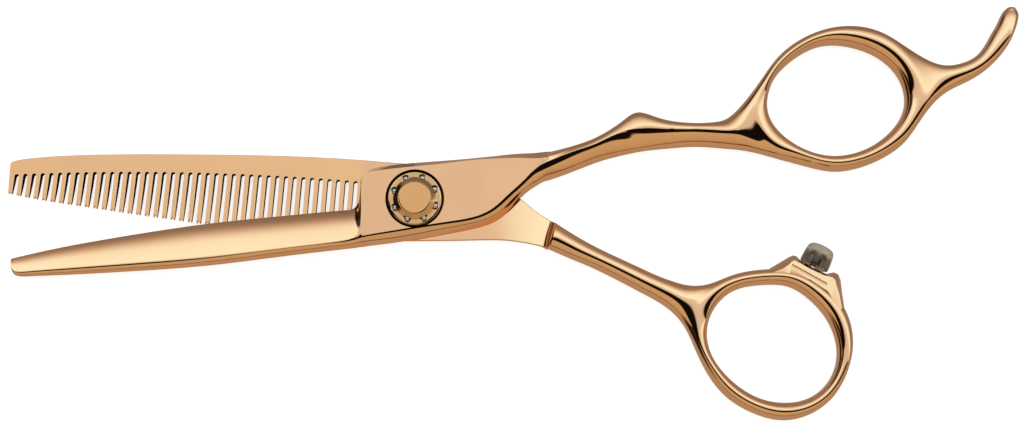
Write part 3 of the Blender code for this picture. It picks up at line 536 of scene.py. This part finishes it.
def toothed_blade_section(spine, tips, thickness=PLATE):
    """A flat inside facing up, and under it a back that thins from near the spine to the tooth tips."""
    high, low = Vector(spine), Vector(tips)
    inner = BACK_INNER
    return [
        at(high, inner - 0.4), at(inset(high, low, 0.12), inner), at(high.lerp(low, 0.5), inner),
        at(inset(low, high, 0.05), inner), at(low, inner - 0.25),
        at(inset(low, high, 0.3), inner - 0.85), at(high.lerp(low, 0.55), inner - thickness * 0.84),
        at(inset(high, low, 1.1), inner - thickness),
    ]


def back_plate_section(upper, lower, back=BACK_FACE):
    """The face towards the other half falls away a little along its upper edge, near the shank."""
    high, low = Vector(upper), Vector(lower)
    inner = BACK_INNER
    start, full = RELIEF_SPAN
    relief = RELIEF * min(1.0, max(0.0, (high.x - start) / (full - start)))
    near, far = inset(high, low, 0.7), inset(low, high, 1.0)
    return [
        at(high, inner - 0.4 - relief), at(inset(high, low, 0.15), inner - relief),
        at(high.lerp(low, 0.5), inner - relief / 2),
        at(inset(low, high, 0.15), inner), at(low, inner - 0.4), at(far, back),
        at(near.lerp(far, 0.5), back), at(near, back),
    ]


def mixed(first, second, share):
    return [one.lerp(two, share) for one, two in zip(first, second)]


class Cage:
    """Rings of eight or ten points, the faces between them, and how sharp the edges are."""

    def __init__(self):
        self.points = []
        self.faces = []
        self.creases = {}

    def add(self, section):
        start = len(self.points)
        self.points.extend(section)
        return list(range(start, start + len(section)))

    def bridge(self, first, second, skip=()):
        """A point that a ring names twice makes a triangle."""
        for side in range(len(first)):
            if side in skip:
                continue
            after = (side + 1) % len(first)
            corners = (first[side], second[side], second[after], first[after])
            self.faces.append(tuple(dict.fromkeys(corners)))

    def tube(self, rings):
        for first, second in zip(rings, rings[1:]):
            self.bridge(first, second)

    def flat_cap(self, ring):
        self.faces.append(tuple(ring))

    def cap(self, ring):
        self.faces.append((ring[7], ring[0], ring[1]))
        self.faces.append((ring[7], ring[1], ring[2], ring[6]))
        self.faces.append((ring[6], ring[2], ring[3], ring[5]))
        self.faces.append((ring[5], ring[3], ring[4]))

    def crease(self, first, second, amount):
        self.creases[frozenset((first, second))] = amount

    def crease_along(self, rings, sides, amounts):
        for first, second, amount in zip(rings, rings[1:], amounts):
            for side in sides:
                self.crease(first[side], second[side], amount)

    def crease_round(self, ring, sides, amount):
        for side in sides:
            self.crease(ring[side], ring[(side + 1) % len(ring)], amount)

    def loop(self, sections, depth, joins):
        """A closed ring, with an opening two segments long in its outer side at each join."""
        rings = []
        for number, (inner, outer) in enumerate(sections):
            section = oval_section(inner, outer, depth)
            if number - 1 in joins:
                section[3].z = (SPLIT + depth * 0.97) * MM
                section[5].z = (SPLIT - depth * 0.97) * MM
            rings.append(self.add(section))
        for number, ring in enumerate(rings):
            open_sides = (3, 4) if number in joins or number - 1 in joins else ()
            self.bridge(ring, rings[(number + 1) % len(rings)], open_sides)
        return rings

    def mesh(self, name):
        mesh = bpy.data.meshes.new(name)
        mesh.from_pydata([tuple(point) for point in self.points], [], self.faces)
        bm = bmesh.new()
        bm.from_mesh(mesh)
        layer = bm.edges.layers.float.new("crease_edge")
        for edge in bm.edges:
            ends = frozenset(vert.index for vert in edge.verts)
            edge[layer] = self.creases.get(ends, 0.0)
        loose = [vert for vert in bm.verts if not vert.link_faces]
        bmesh.ops.delete(bm, geom=loose, context="VERTS")
        bmesh.ops.recalc_face_normals(bm, faces=bm.faces)
        bm.to_mesh(mesh)
        bm.free()
        return mesh


def opening(first, middle, last):
    """The eight points round a join, in the order of a section that comes to it from outside."""
    return [first[4], first[3], middle[3], last[3], last[4], last[5], middle[5], first[5]]


def smooth(obj, level):
    modifier = obj.modifiers.new("smooth", "SUBSURF")
    modifier.levels = level
    modifier.render_levels = level


def pass_through(obj, rounds=5):
    """Moves the cage until the smooth surface runs through the points that the cage was given."""
    wanted = [vert.co.copy() for vert in obj.data.vertices]
    for _ in range(rounds):
        bpy.context.view_layer.update()
        shaped = obj.evaluated_get(bpy.context.evaluated_depsgraph_get()).data
        moves = [want - shaped.vertices[number].co for number, want in enumerate(wanted)]
        for vert, move in zip(obj.data.vertices, moves):
            vert.co += move


def finger_cage():
    cage = Cage()
    blade = [cage.add(solid_blade_section(*station)) for station in SOLID_BLADE]
    plate = [cage.add(section) for section in plate_sections()]
    shank = []
    for upper, lower, crest in FINGER_SHANK[1 + RIDGED:]:
        shank.append(cage.add(oval_section(upper, lower, SHANK_DEPTH, crest, LOW_SHOULDER)))
    ring = cage.loop(FINGER_RING, HANDLE_DEPTH, (FINGER_SHANK_JOIN, TANG_JOIN))
    tang = [cage.add(oval_section(*station)) for station in TANG]
    crease_finger_half(cage, blade, plate, shank)
    cage.flat_cap(blade[0])
    cage.tube(blade + plate + [shared(shank[0])])
    cage.tube(shank + [opening(*ring[FINGER_SHANK_JOIN:FINGER_SHANK_JOIN + 3])])
    cage.tube([opening(*ring[TANG_JOIN:TANG_JOIN + 3][::-1])] + tang)
    cage.cap(tang[-1])
    return cage


def plate_sections():
    """From the solid blade's foot to the first sections of the shank, whose back is already full."""
    edge = [Vector(far) for _, _, far, _ in PLATE_FRONT] + [Vector(FLAT_END[1])]
    ends = zip(edge[:1] + edge, edge[1:] + edge[-1:])
    uphill = [(after - before).normalized().orthogonal() for before, after in ends]
    sections = [front_plate_section(*station, up) for station, up in zip(PLATE_FRONT, uphill)]
    foot = solid_blade_section(PLATE_FRONT[0][0], PLATE_FRONT[0][3], *BLADE_FOOT)
    sections[0][1:6] = foot[1:6]
    upper, lower, crest = FINGER_SHANK[0]
    flat = front_plate_section(upper, *FLAT_END, lower, uphill[-1])
    oval = oval_section(upper, lower, SHANK_DEPTH, crest, END_SHOULDER)
    face = [oval[number] for number in (1, 2, 2, 3, 3)]
    sections.append([oval[0], *mixed(flat[1:6], face, END_SHARE), *oval[4:8]])
    sections += [ridged_section(*station) for station in FINGER_SHANK[1:1 + RIDGED]]
    return sections


def ridged_section(upper, lower, crest):
    """Ten points: an oval with the tail of the bevel below its ridge."""
    oval = oval_section(upper, lower, SHANK_DEPTH, crest, LOW_SHOULDER)
    ridge, shoulder = oval[2], oval[3]
    section = shared(oval)
    section[2] = ridge.lerp(oval[1], RIDGE_SHARE)
    section[2].z = ridge.z
    section[4] = ridge.lerp(shoulder, RIDGE_SHARE)
    section[4].z = ridge.lerp(shoulder, RIDGE_SHARE / 2).z
    return section


def crease_finger_half(cage, blade, plate, shank):
    whole = blade + plate + [shared(shank[0])]
    start, flat = len(blade), len(PLATE_FRONT) - 1
    fade = [0.45, 0.3, 0.15, 0.1, 0.05]
    cage.crease_along(whole, (1,), [0.0] * start + [1.0] * flat + fade)
    cage.crease_along(whole, (3,), [0.6] * start + [1.0] * flat + fade)
    cage.crease_along(whole, (4,), [0.6] * start + [0.8] * flat + fade)
    cage.crease_along(whole, (0, 6, 7, 9), [1.0] * (start + flat))
    cage.crease_round(blade[0], range(10), 1.0)
    cage.crease_round(plate[1], (1, 2), 0.5)
    cage.crease_round(plate[flat], (6, 7, 8, 9), 0.9)
    cage.crease_round(plate[flat + 1], (6, 7, 8, 9), 0.6)


def thumb_cage():
    cage = Cage()
    blade = [cage.add(toothed_blade_section(*TOOTHED_BLADE[0], PLATE * 0.6))]
    blade += [cage.add(toothed_blade_section(*station)) for station in TOOTHED_BLADE[1:]]
    plate = [cage.add(back_plate_section(*station)) for station in PLATE_BACK]
    plate += [cage.add(step_section(*station)) for station in STEP]
    shank = [cage.add(section) for section in thumb_shank_sections()]
    ring = cage.loop(THUMB_RING, HANDLE_DEPTH, (THUMB_SHANK_JOIN,))
    whole = blade + plate
    sharp = [1.0] * (len(whole) - 1)
    cage.crease_along(whole, (0, 1, 3, 4, 7), sharp)
    cage.crease_along(whole, (5,), [0.0] * (len(blade) - 1) + [1.0] * len(plate))
    cage.crease_round(blade[0], range(8), 1.0)
    cage.cap(blade[0])
    cage.tube(whole + shank + [opening(*ring[THUMB_SHANK_JOIN:THUMB_SHANK_JOIN + 3])])
    return cage


def step_section(upper, lower, share):
    """The front rises from the plate's level to the shank's; the back stays flat."""
    flat = back_plate_section(upper, lower)
    return mixed(flat[:5], oval_section(upper, lower, SHANK_DEPTH)[:5], share) + flat[5:]


def thumb_shank_sections():
    """The front steps up from the plate to a full oval, and the back leaves its flat gradually."""
    sections = [oval_section(*station, SHANK_DEPTH) for station in THUMB_SHANK]
    for number, share in ((0, 0.2), (1, 0.6)):
        flat = back_plate_section(*THUMB_SHANK[number])
        sections[number][5:8] = mixed(flat[5:8], sections[number][5:8], share)
    return sections


def tip_line(x):
    """The height of the tooth tips at x, along the toothed blade."""
    for (_, left), (_, right) in zip(TOOTHED_BLADE, TOOTHED_BLADE[1:]):
        if x <= right[0]:
            break
    return left[1] + (right[1] - left[1]) * (x - left[0]) / (right[0] - left[0])


def slot_frame(number):
    """The top centre of a slot and the direction down along it."""
    share = number / (SLOTS - 1)
    base, slope, bend = SLOT_TOP
    top = Vector((SLOT_START + SLOT_PITCH * number, base + slope * share + bend * share * share))
    lean = SLOT_LEAN[0] + (SLOT_LEAN[1] - SLOT_LEAN[0]) * share
    return top, Vector((-math.sin(lean), -math.cos(lean)))


def slot_outline(number, arc_steps=6):
    top, down = slot_frame(number)
    across = Vector((-down.y, down.x)) * (SLOT_WIDTH / 2)
    reach = top.y - tip_line(top.x) + 1.0
    outline = [top + down * reach + across, top + down * reach - across]
    centre = top + down * (SLOT_WIDTH / 2)
    for step in range(arc_steps + 1):
        turn = math.pi * (1 - step / arc_steps)
        outline.append(centre + across * math.cos(turn) - down * (math.sin(turn) * SLOT_WIDTH / 2))
    return outline


def notch_outline(number):
    """A V in the tip of the tooth on the left of a slot."""
    top, down = slot_frame(number)
    start = top - Vector((SLOT_PITCH / 2, 0))
    tip = start + down * ((start.y - tip_line(start.x)) / -down.y)
    across = Vector((-down.y, down.x)) * (NOTCH_WIDTH / 2)
    return [tip - down * NOTCH_DEPTH, tip + down * 0.4 + across, tip + down * 0.4 - across]


# --- Pieces ---

# How often the halves' cages are subdivided.
FINE = 3
# The toothed blade's satin front and its slots, whose walls are painted dark as shade, are left of this.
TEETH_END = -8.6
# The upright part of a face's normal: at most this in a slot's wall, and more than that in the front.
UPRIGHT, LEVEL = 0.5, 0.9
# The plate's upper side, painted darker as shade: how far above the pivot it starts, and how much its
# normals rise at most.
SIDE_START, SIDE_RISE = 3.0, 0.6
# The upright part of a ground face's normal is more than this, and its edges are sharp where the next
# face turns away by more than the angle.
GROUND_FLAT = 0.99999
GROUND_EDGE = math.radians(3.0)
# Other edges are sharp from this angle on.
SHARP_CORNER = math.radians(28.0)
# Round the recess for the balls, in the finger half.
RECESS_CHAMFER = 0.08


def lug_frame():
    """At the foot of the bumper, with +Z along its axis."""
    place = Vector((*BUMPER_FOOT, SPLIT)) * MM
    aim = Matrix.Rotation(-BUMPER_LEAN, 4, "Z") @ Matrix.Rotation(math.radians(-90), 4, "X")
    return Matrix.Translation(place) @ aim


def add_piece(name, mesh, finish=None):
    obj = bpy.data.objects.new(name, mesh)
    bpy.context.scene.collection.objects.link(obj)
    if finish:
        mesh.materials.append(finish)
    return obj


def turned_bmesh(profile, steps):
    """A closed profile of (radius, height), clockwise seen with +X right, turned about Z."""
    bm = bmesh.new()
    rings = []
    for step in range(steps):
        angle = math.tau * step / steps
        turn = Vector((math.cos(angle), math.sin(angle), 0))
        points = [(turn * radius + Vector((0, 0, height))) * MM for radius, height in profile]
        rings.append([bm.verts.new(point) for point in points])
    count = len(profile)
    for number, ring in enumerate(rings):
        following = rings[(number + 1) % steps]
        for side in range(count):
            after = (side + 1) % count
            bm.faces.new((ring[side], following[side], following[after], ring[after]))
    bmesh.ops.remove_doubles(bm, verts=bm.verts, dist=1e-7)
    return bm


def cylinder_bmesh(radius, low, high, steps=64):
    return turned_bmesh([(0, low), (0, high), (radius, high), (radius, low)], steps)


def prisms_bmesh(outlines, low, high):
    """One upright prism for each flat outline."""
    bm = bmesh.new()
    for outline in outlines:
        face = bm.faces.new([bm.verts.new(Vector((x, y, low)) * MM) for x, y in outline])
        grown = bmesh.ops.extrude_face_region(bm, geom=[face])
        top = [item for item in grown["geom"] if isinstance(item, bmesh.types.BMVert)]
        bmesh.ops.translate(bm, verts=top, vec=Vector((0, 0, high - low)) * MM)
    return bm


def mesh_of(name, bm):
    bmesh.ops.recalc_face_normals(bm, faces=bm.faces)
    mesh = bpy.data.meshes.new(name)
    bm.to_mesh(mesh)
    bm.free()
    return mesh


def cut(obj, bm, operation="DIFFERENCE", place=None):
    """Applies a Boolean with a solid that is then thrown away."""
    tool = bpy.data.objects.new("tool", mesh_of("tool", bm))
    bpy.context.scene.collection.objects.link(tool)
    if place:
        tool.matrix_world = place
    modifier = obj.modifiers.new("cut", "BOOLEAN")
    modifier.operation = operation
    modifier.object = tool
    modifier.solver = "EXACT"
    apply_modifiers(obj)
    bpy.data.objects.remove(tool, do_unlink=True)


def apply_modifiers(obj):
    bpy.context.view_layer.update()
    shaped = obj.evaluated_get(bpy.context.evaluated_depsgraph_get())
    mesh = bpy.data.meshes.new_from_object(shaped)
    obj.modifiers.clear()
    obj.data = mesh


def soften(obj):
    """Smooth shading, but sharp at corners and round every ground face that lies flat."""
    mesh = obj.data
    mesh.shade_smooth()
    mesh.set_sharp_from_angle(angle=SHARP_CORNER)
    bm = bmesh.new()
    bm.from_mesh(mesh)
    for edge in bm.edges:
        if len(edge.link_faces) == 2:
            one, two = (face.normal for face in edge.link_faces)
            flattest = max(abs(one.z), abs(two.z))
            if flattest > GROUND_FLAT and one.angle(two, 0.0) > GROUND_EDGE:
                edge.smooth = False
    bm.to_mesh(mesh)
    bm.free()


def smoothed_half(name, cage):
    half = add_piece(name, cage.mesh(name))
    smooth(half, 1)
    pass_through(half)
    half.modifiers["smooth"].levels = FINE
    apply_modifiers(half)
    return half


def make_finger_half(finishes):
    half = smoothed_half("finger_half_polished", finger_cage())
    mouth = RECESS_RADIUS + RECESS_CHAMFER
    recess = [
        (0, RECESS_FLOOR), (0, CUT), (mouth + CUT - FRONT_FACE, CUT), (mouth, FRONT_FACE),
        (RECESS_RADIUS, FRONT_FACE - RECESS_CHAMFER), (RECESS_RADIUS, RECESS_FLOOR),
    ]
    cut(half, turned_bmesh(recess, 96))
    cut(half, cylinder_bmesh(BORE_RADIUS, 0, CUT))
    for finish in ("polished", "burnished", "shaded"):
        half.data.materials.append(finishes[finish])
    for face in half.data.polygons:
        # The recess round the balls is painted near-black as shade.
        if in_recess(face, mouth):
            face.material_index = 1
        # The plate's upper side is painted darker as shade.
        elif on_plate_side(face):
            face.material_index = 2
    soften(half)
    return half


def in_recess(face, mouth):
    x, y, z = face.center / MM
    return Vector((x, y)).length < mouth and z < FRONT_FACE - 0.001


def on_plate_side(face):
    """The plate's upper side, left of the pivot, which is painted darker as shade."""
    x, y, _ = face.center / MM
    return PLATE_FRONT[0][0][0] < x < 0 and y > SIDE_START and 0 < face.normal.z < SIDE_RISE


def make_thumb_half(finishes):
    half = smoothed_half("thumb_half_polished", thumb_cage())
    cut(half, lug_bmesh(), "UNION")
    cut_grooves(half)
    pilot = cylinder_bmesh(STEM_RADIUS + FIT, -STEM_DEPTH - FIT, PILOT_TOP, 32)
    cut(half, pilot, place=lug_frame())
    outlines = [slot_outline(number) for number in range(SLOTS)]
    outlines += [notch_outline(number) for number in range(SLOTS)]
    cut(half, prisms_bmesh(outlines, -1.0, SPLIT + 1.0))
    cut(half, cylinder_bmesh(STUD_HEAD_RADIUS + FIT, -CUT, STUD_HEAD + FIT))
    hole = NECK / 2 + FIT
    square = [(-hole, -hole), (hole, -hole), (hole, hole), (-hole, hole)]
    cut(half, prisms_bmesh([square], -CUT, CUT))
    play, depth = WASHER_SEAT
    cut(half, cylinder_bmesh(WASHER_RADIUS + play, BACK_INNER - depth, CUT))
    for finish in ("polished", "satin", "burnished"):
        half.data.materials.append(finishes[finish])
    for face in half.data.polygons:
        if face.center.x > TEETH_END * MM:
            continue
        if face.normal.z > LEVEL:
            face.material_index = 1
        # The slots' walls are painted near-black as shade.
        elif is_slot_wall(face):
            face.material_index = 2
    soften(half)
    return half


def cut_grooves(half):
    """One along the lug's front and one along its back."""
    start, end = (Vector(point) for point in GROOVE)
    across = (end - start).normalized().orthogonal() * (GROOVE_WIDTH / 2)
    groove = [start - across, end - across, end + across, start + across]
    reach = LUG_DEPTH - LUG_SLOPE - GROOVE_DEPTH
    cut(half, prisms_bmesh([groove], SPLIT + reach, CUT))
    cut(half, prisms_bmesh([groove], -CUT, SPLIT - reach))


def lug_height(point):
    """Of the lug's front face over the middle of its thickness: it slopes down away from the ring."""
    start, end = (Vector(place) for place in GROOVE)
    outward = (end - start).normalized().orthogonal()
    return LUG_DEPTH - LUG_SLOPE * max(0.0, 1.0 + (point - start).dot(outward))


def lug_bmesh():
    """Layers of outlines, from the widest in the middle over curved flanks to the two faces."""
    bm = bmesh.new()
    layers = []
    for step in range(-LUG_STEPS, LUG_STEPS + 1):
        rise = step / LUG_STEPS
        share = abs(rise) ** LUG_FLANK
        outline = [Vector(outer).lerp(Vector(front), share) for outer, front in LUG]
        layer = [at(point, SPLIT + lug_height(point) * rise) for point in outline]
        layers.append([bm.verts.new(point) for point in layer])
    for lower, upper in zip(layers, layers[1:]):
        for side in range(len(LUG)):
            after = (side + 1) % len(LUG)
            bm.faces.new((lower[side], lower[after], upper[after], upper[side]))
    bm.faces.new(layers[0])
    bm.faces.new(layers[-1])
    bmesh.ops.recalc_face_normals(bm, faces=bm.faces)
    return bm


def is_slot_wall(face):
    """Upright faces between the slots' tops and the tooth tips."""
    if abs(face.normal.z) > UPRIGHT:
        return False
    x, y = face.center.x / MM, face.center.y / MM
    top = max(slot_frame(number)[0].y for number in range(SLOTS))
    return SLOT_START - SLOT_WIDTH * 1.5 < x and tip_line(x) + 0.1 < y < top + 0.05


def ball_places():
    for number in range(BALLS):
        angle = BALL_PHASE + math.tau * number / BALLS
        yield Vector((math.cos(angle), math.sin(angle), 0)) * BALL_CIRCLE


def make_balls(finishes):
    bm = bmesh.new()
    height = RECESS_FLOOR + FIT + RACE + BALL_GAP + BALL_RADIUS
    radius = BALL_RADIUS * MM
    for place in ball_places():
        spot = Matrix.Translation((place + Vector((0, 0, height))) * MM)
        bmesh.ops.create_uvsphere(bm, u_segments=24, v_segments=14, radius=radius, matrix=spot)
    balls = add_piece("bearing_balls", mesh_of("bearing_balls", bm), finishes["steel"])
    balls.data.shade_smooth()
    return balls


def turned_piece(name, profile, steps, finish):
    return add_piece(name, mesh_of(name, turned_bmesh(profile, steps)), finish)


def make_dial(finishes):
    rim = CAP_RADIUS + 0.07
    profile = [
        (DIAL_BORE, DIAL_BOTTOM), (DIAL_BORE, CAP_SEAT), (rim, CAP_SEAT), (rim, HUB_TOP),
        (rim + 0.05, HUB_TOP), (HUB_RADIUS - 0.04, FLANGE_TOP + 0.05), (HUB_RADIUS + 0.04, FLANGE_TOP),
        (DIAL_RADIUS - 0.3, FLANGE_TOP), (DIAL_RADIUS - 0.12, FLANGE_TOP - 0.06),
        (DIAL_RADIUS, FLANGE_TOP - 0.2), (DIAL_RADIUS, DIAL_BOTTOM),
    ]
    dial = turned_piece("tension_dial_turned", profile, 128, finishes["dial"])
    pockets = bmesh.new()
    depth = POCKET_TOP - DIAL_BOTTOM + 1
    radius = POCKET_RADIUS * MM
    for place in ball_places():
        spot = Matrix.Translation((place + Vector((0, 0, POCKET_TOP - depth / 2))) * MM)
        bmesh.ops.create_cone(
            pockets, cap_ends=True, segments=32, radius1=radius, radius2=radius, depth=depth * MM,
            matrix=spot,
        )
    cut(dial, pockets)
    soften(dial)
    return dial


def make_cap(finishes):
    low = CAP_SEAT + 0.05
    profile = [
        (0, low), (0, CAP_TOP), (CAP_RADIUS - 0.14, CAP_TOP), (CAP_RADIUS - 0.05, CAP_TOP - 0.03),
        (CAP_RADIUS, CAP_TOP - 0.12), (CAP_RADIUS, low),
    ]
    cap = turned_piece("dial_cap_turned", profile, 96, finishes["turned"])
    soften(cap)
    return cap


def make_bumper(finishes):
    bore, pocket = STEM_RADIUS + FIT, STEM_HEAD_RADIUS + FIT
    high = BUMPER_HEIGHT
    head_low, head_top = (high - depth for depth in STEM_HEAD)
    profile = [
        (bore, FIT), (bore, head_low), (pocket, head_low), (pocket, head_top), (0, head_top), (0, high),
        (0.8, high - 0.01), (1.4, high - 0.05), (1.8, high - 0.17), (2.08, high - 0.38),
        (2.25, high - 0.7), (2.36, high - 1.2), (2.44, high - 1.9), (BUMPER_RADIUS, FIT + 0.35),
        (BUMPER_RADIUS - 0.06, FIT + 0.12), (BUMPER_RADIUS - 0.2, FIT),
    ]
    bumper = turned_piece("bumper_cast", profile, 64, finishes["smoky"])
    bumper.matrix_world = lug_frame()
    soften(bumper)
    return bumper


def dress_hidden_nodes(finishes):
    """The CAD nodes that stay as they are get their procedural finish."""
    kept = {
        "pivot_stud": "steel",
        "glide_washer": "polymer",
        "pivot_bush": "bronze",
        "ball_race": "steel",
        "tension_spring": "steel",
        "tension_nut": "bronze",
        "lock_screw": "steel",
        "bumper_stem": "steel",
    }
    for name, finish in kept.items():
        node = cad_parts[name]
        for material_slot in node.material_slots:
            material_slot.material = finishes[finish]


def make_object():
    finishes = all_materials()
    balls = [f"ball_{number}" for number in range(1, BALLS + 1)]
    pieces = [
        (make_finger_half(finishes), "finger_half", "rose_gold", ["finger_half"]),
        (make_thumb_half(finishes), "thumb_half", "rose_gold", ["thumb_half"]),
        (make_balls(finishes), "tension_dial", "steel", balls),
        (make_dial(finishes), "tension_dial", "dial_gold", ["tension_dial"]),
        (make_cap(finishes), "tension_dial", "dial_gold", ["dial_cap"]),
        (make_bumper(finishes), "bumper", "bumper", ["bumper"]),
    ]
    for piece, body, material_slot, replaced in pieces:
        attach(piece, body)
        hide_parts(*replaced)
    dress_hidden_nodes(finishes)


# --- Studio ---

CAMERA_AIM = Vector((16.135, -2.366, 2.8))
CAMERA_DISTANCE = 400.0
CAMERA_TILT = math.radians(8.0)
CAMERA_LENS = 84.375
CAMERA_SENSOR = 36.0

# What the metal sees round it, by angle from straight up towards the light's side, in degrees.
SURROUNDINGS = [
    (-180, (0.42, 0.30, 0.19)),
    (-98, (0.55, 0.40, 0.26)),
    (-93, (0.14, 0.09, 0.06)),
    (-88, (0.14, 0.09, 0.06)),
    (-84, (0.56, 0.42, 0.25)),
    (-30, (0.66, 0.50, 0.29)),
    (-27, (0.68, 0.52, 0.31)),
    (-24, (0.006, 0.005, 0.004)),
    (-1, (0.006, 0.005, 0.004)),
    (2, (0.74, 0.70, 0.63)),
    (11, (0.86, 0.80, 0.71)),
    (17, (1.12, 1.32, 1.25)),
    (30, (1.05, 1.18, 1.10)),
    (42, (0.88, 0.85, 0.77)),
    (55, (0.60, 0.52, 0.43)),
    (70, (0.36, 0.285, 0.23)),
    (90, (0.24, 0.185, 0.15)),
    (130, (0.32, 0.25, 0.20)),
    (180, (0.42, 0.32, 0.24)),
]
# What the colours in the ramp are shares of.
BRIGHTEST = 1.5
# How much of it is left, from straight left to straight right: a dark card stands at the left.
DARK_CARD = [(0.0, 0.04), (0.09, 0.04), (0.16, 1.0), (1.0, 1.0)]
LIGHT_TURN = math.radians(8.0)
BACKDROP = (0.93, 0.93, 0.93)
# The floor's radius in metres, its two greys, and how much it shines by itself.
FLOOR_SIZE = 6.0
FLOOR_GREYS = ((0.34, 0.34, 0.34), (0.36, 0.36, 0.36))
FLOOR_GLOW = 0.75
# The lamp's diameter and height in metres, and its power in watts.
LAMP_SIZE = 1.6
LAMP_HEIGHT = 1.4
LAMP_POWER = 22.0


def make_camera():
    camera = bpy.data.objects.new("camera", bpy.data.cameras.new("camera"))
    bpy.context.scene.collection.objects.link(camera)
    back = Vector((0, -math.sin(CAMERA_TILT), math.cos(CAMERA_TILT)))
    camera.location = (CAMERA_AIM + back * CAMERA_DISTANCE) * MM
    camera.rotation_euler = (CAMERA_TILT, 0, 0)
    camera.data.sensor_width = CAMERA_SENSOR
    camera.data.lens = CAMERA_LENS
    camera.data.clip_start = 0.01
    bpy.context.scene.camera = camera


def make_surroundings():
    """A soft studio: a broad light to one side, a dark opening overhead and warm cards opposite."""
    world = bpy.data.worlds.new("studio")
    bpy.context.scene.world = world
    world.use_nodes = True
    tree = world.node_tree
    tree.nodes.clear()
    nodes = Nodes(tree)
    where = nodes.add("ShaderNodeTexCoord")
    facing = nodes.add("ShaderNodeMapping", Vector=where.outputs["Generated"])
    facing.inputs["Rotation"].default_value = (0, 0, LIGHT_TURN)
    split = nodes.add("ShaderNodeSeparateXYZ", Vector=facing.outputs["Vector"])
    angle = nodes.add("ShaderNodeMath", {"operation": "ARCTAN2"})
    nodes.link(split.outputs["Y"], angle.inputs[0])
    nodes.link(split.outputs["Z"], angle.inputs[1])
    share = nodes.add("ShaderNodeMapRange", Value=angle.outputs["Value"])
    share.inputs["From Min"].default_value = -math.pi
    share.inputs["From Max"].default_value = math.pi
    stops = []
    for degrees, colour in SURROUNDINGS:
        stops.append(((degrees + 180) / 360, tuple(channel / BRIGHTEST for channel in colour)))
    seen = nodes.ramp(share.outputs["Result"], stops)
    side = nodes.add("ShaderNodeMapRange", Value=split.outputs["X"])
    side.inputs["From Min"].default_value = -1.0
    card = nodes.ramp(side.outputs["Result"], [(place, (shade,)) for place, shade in DARK_CARD])
    shaded = nodes.add("ShaderNodeVectorMath", {"operation": "MULTIPLY"})
    nodes.link(seen, shaded.inputs[0])
    nodes.link(card, shaded.inputs[1])
    studio = nodes.add("ShaderNodeBackground", Color=shaded.outputs["Vector"], Strength=BRIGHTEST)
    backdrop = nodes.add("ShaderNodeBackground", Color=(*BACKDROP, 1.0), Strength=1.0)
    ray = nodes.add("ShaderNodeLightPath")
    mix = nodes.add("ShaderNodeMixShader", Fac=ray.outputs["Is Camera Ray"])
    nodes.link(studio.outputs["Background"], mix.inputs[1])
    nodes.link(backdrop.outputs["Background"], mix.inputs[2])
    output = nodes.add("ShaderNodeOutputWorld")
    nodes.link(mix.outputs["Shader"], output.inputs["Surface"])


def make_floor():
    bm = bmesh.new()
    bmesh.ops.create_circle(bm, cap_ends=True, segments=64, radius=FLOOR_SIZE)
    floor = add_piece("floor", mesh_of("floor", bm))
    made, nodes, shader = new_material("floor_paper")
    nodes.spread(nodes.noise(nodes.places(), PAPER_GRAIN), *FLOOR_GREYS, shader.inputs["Base Color"])
    shader.inputs["Roughness"].default_value = 0.9
    shader.inputs["Specular IOR Level"].default_value = 0.1
    shader.inputs["Emission Color"].default_value = (1.0, 1.0, 1.0, 1.0)
    shader.inputs["Emission Strength"].default_value = FLOOR_GLOW
    floor.data.materials.append(made)
    floor.visible_glossy = False


def make_lamp():
    """Fills the floor from above without showing in the metal."""
    data = bpy.data.lights.new("overhead", "AREA")
    data.shape = "DISK"
    data.size = LAMP_SIZE
    data.energy = LAMP_POWER
    lamp = bpy.data.objects.new("overhead", data)
    lamp.location = (0, 0, LAMP_HEIGHT)
    lamp.visible_glossy = False
    lamp.visible_camera = False
    bpy.context.scene.collection.objects.link(lamp)


def main():
    make_object()
    make_camera()
    make_surroundings()
    make_floor()
    make_lamp()
    bpy.context.scene.view_settings.view_transform = "Standard"


main()
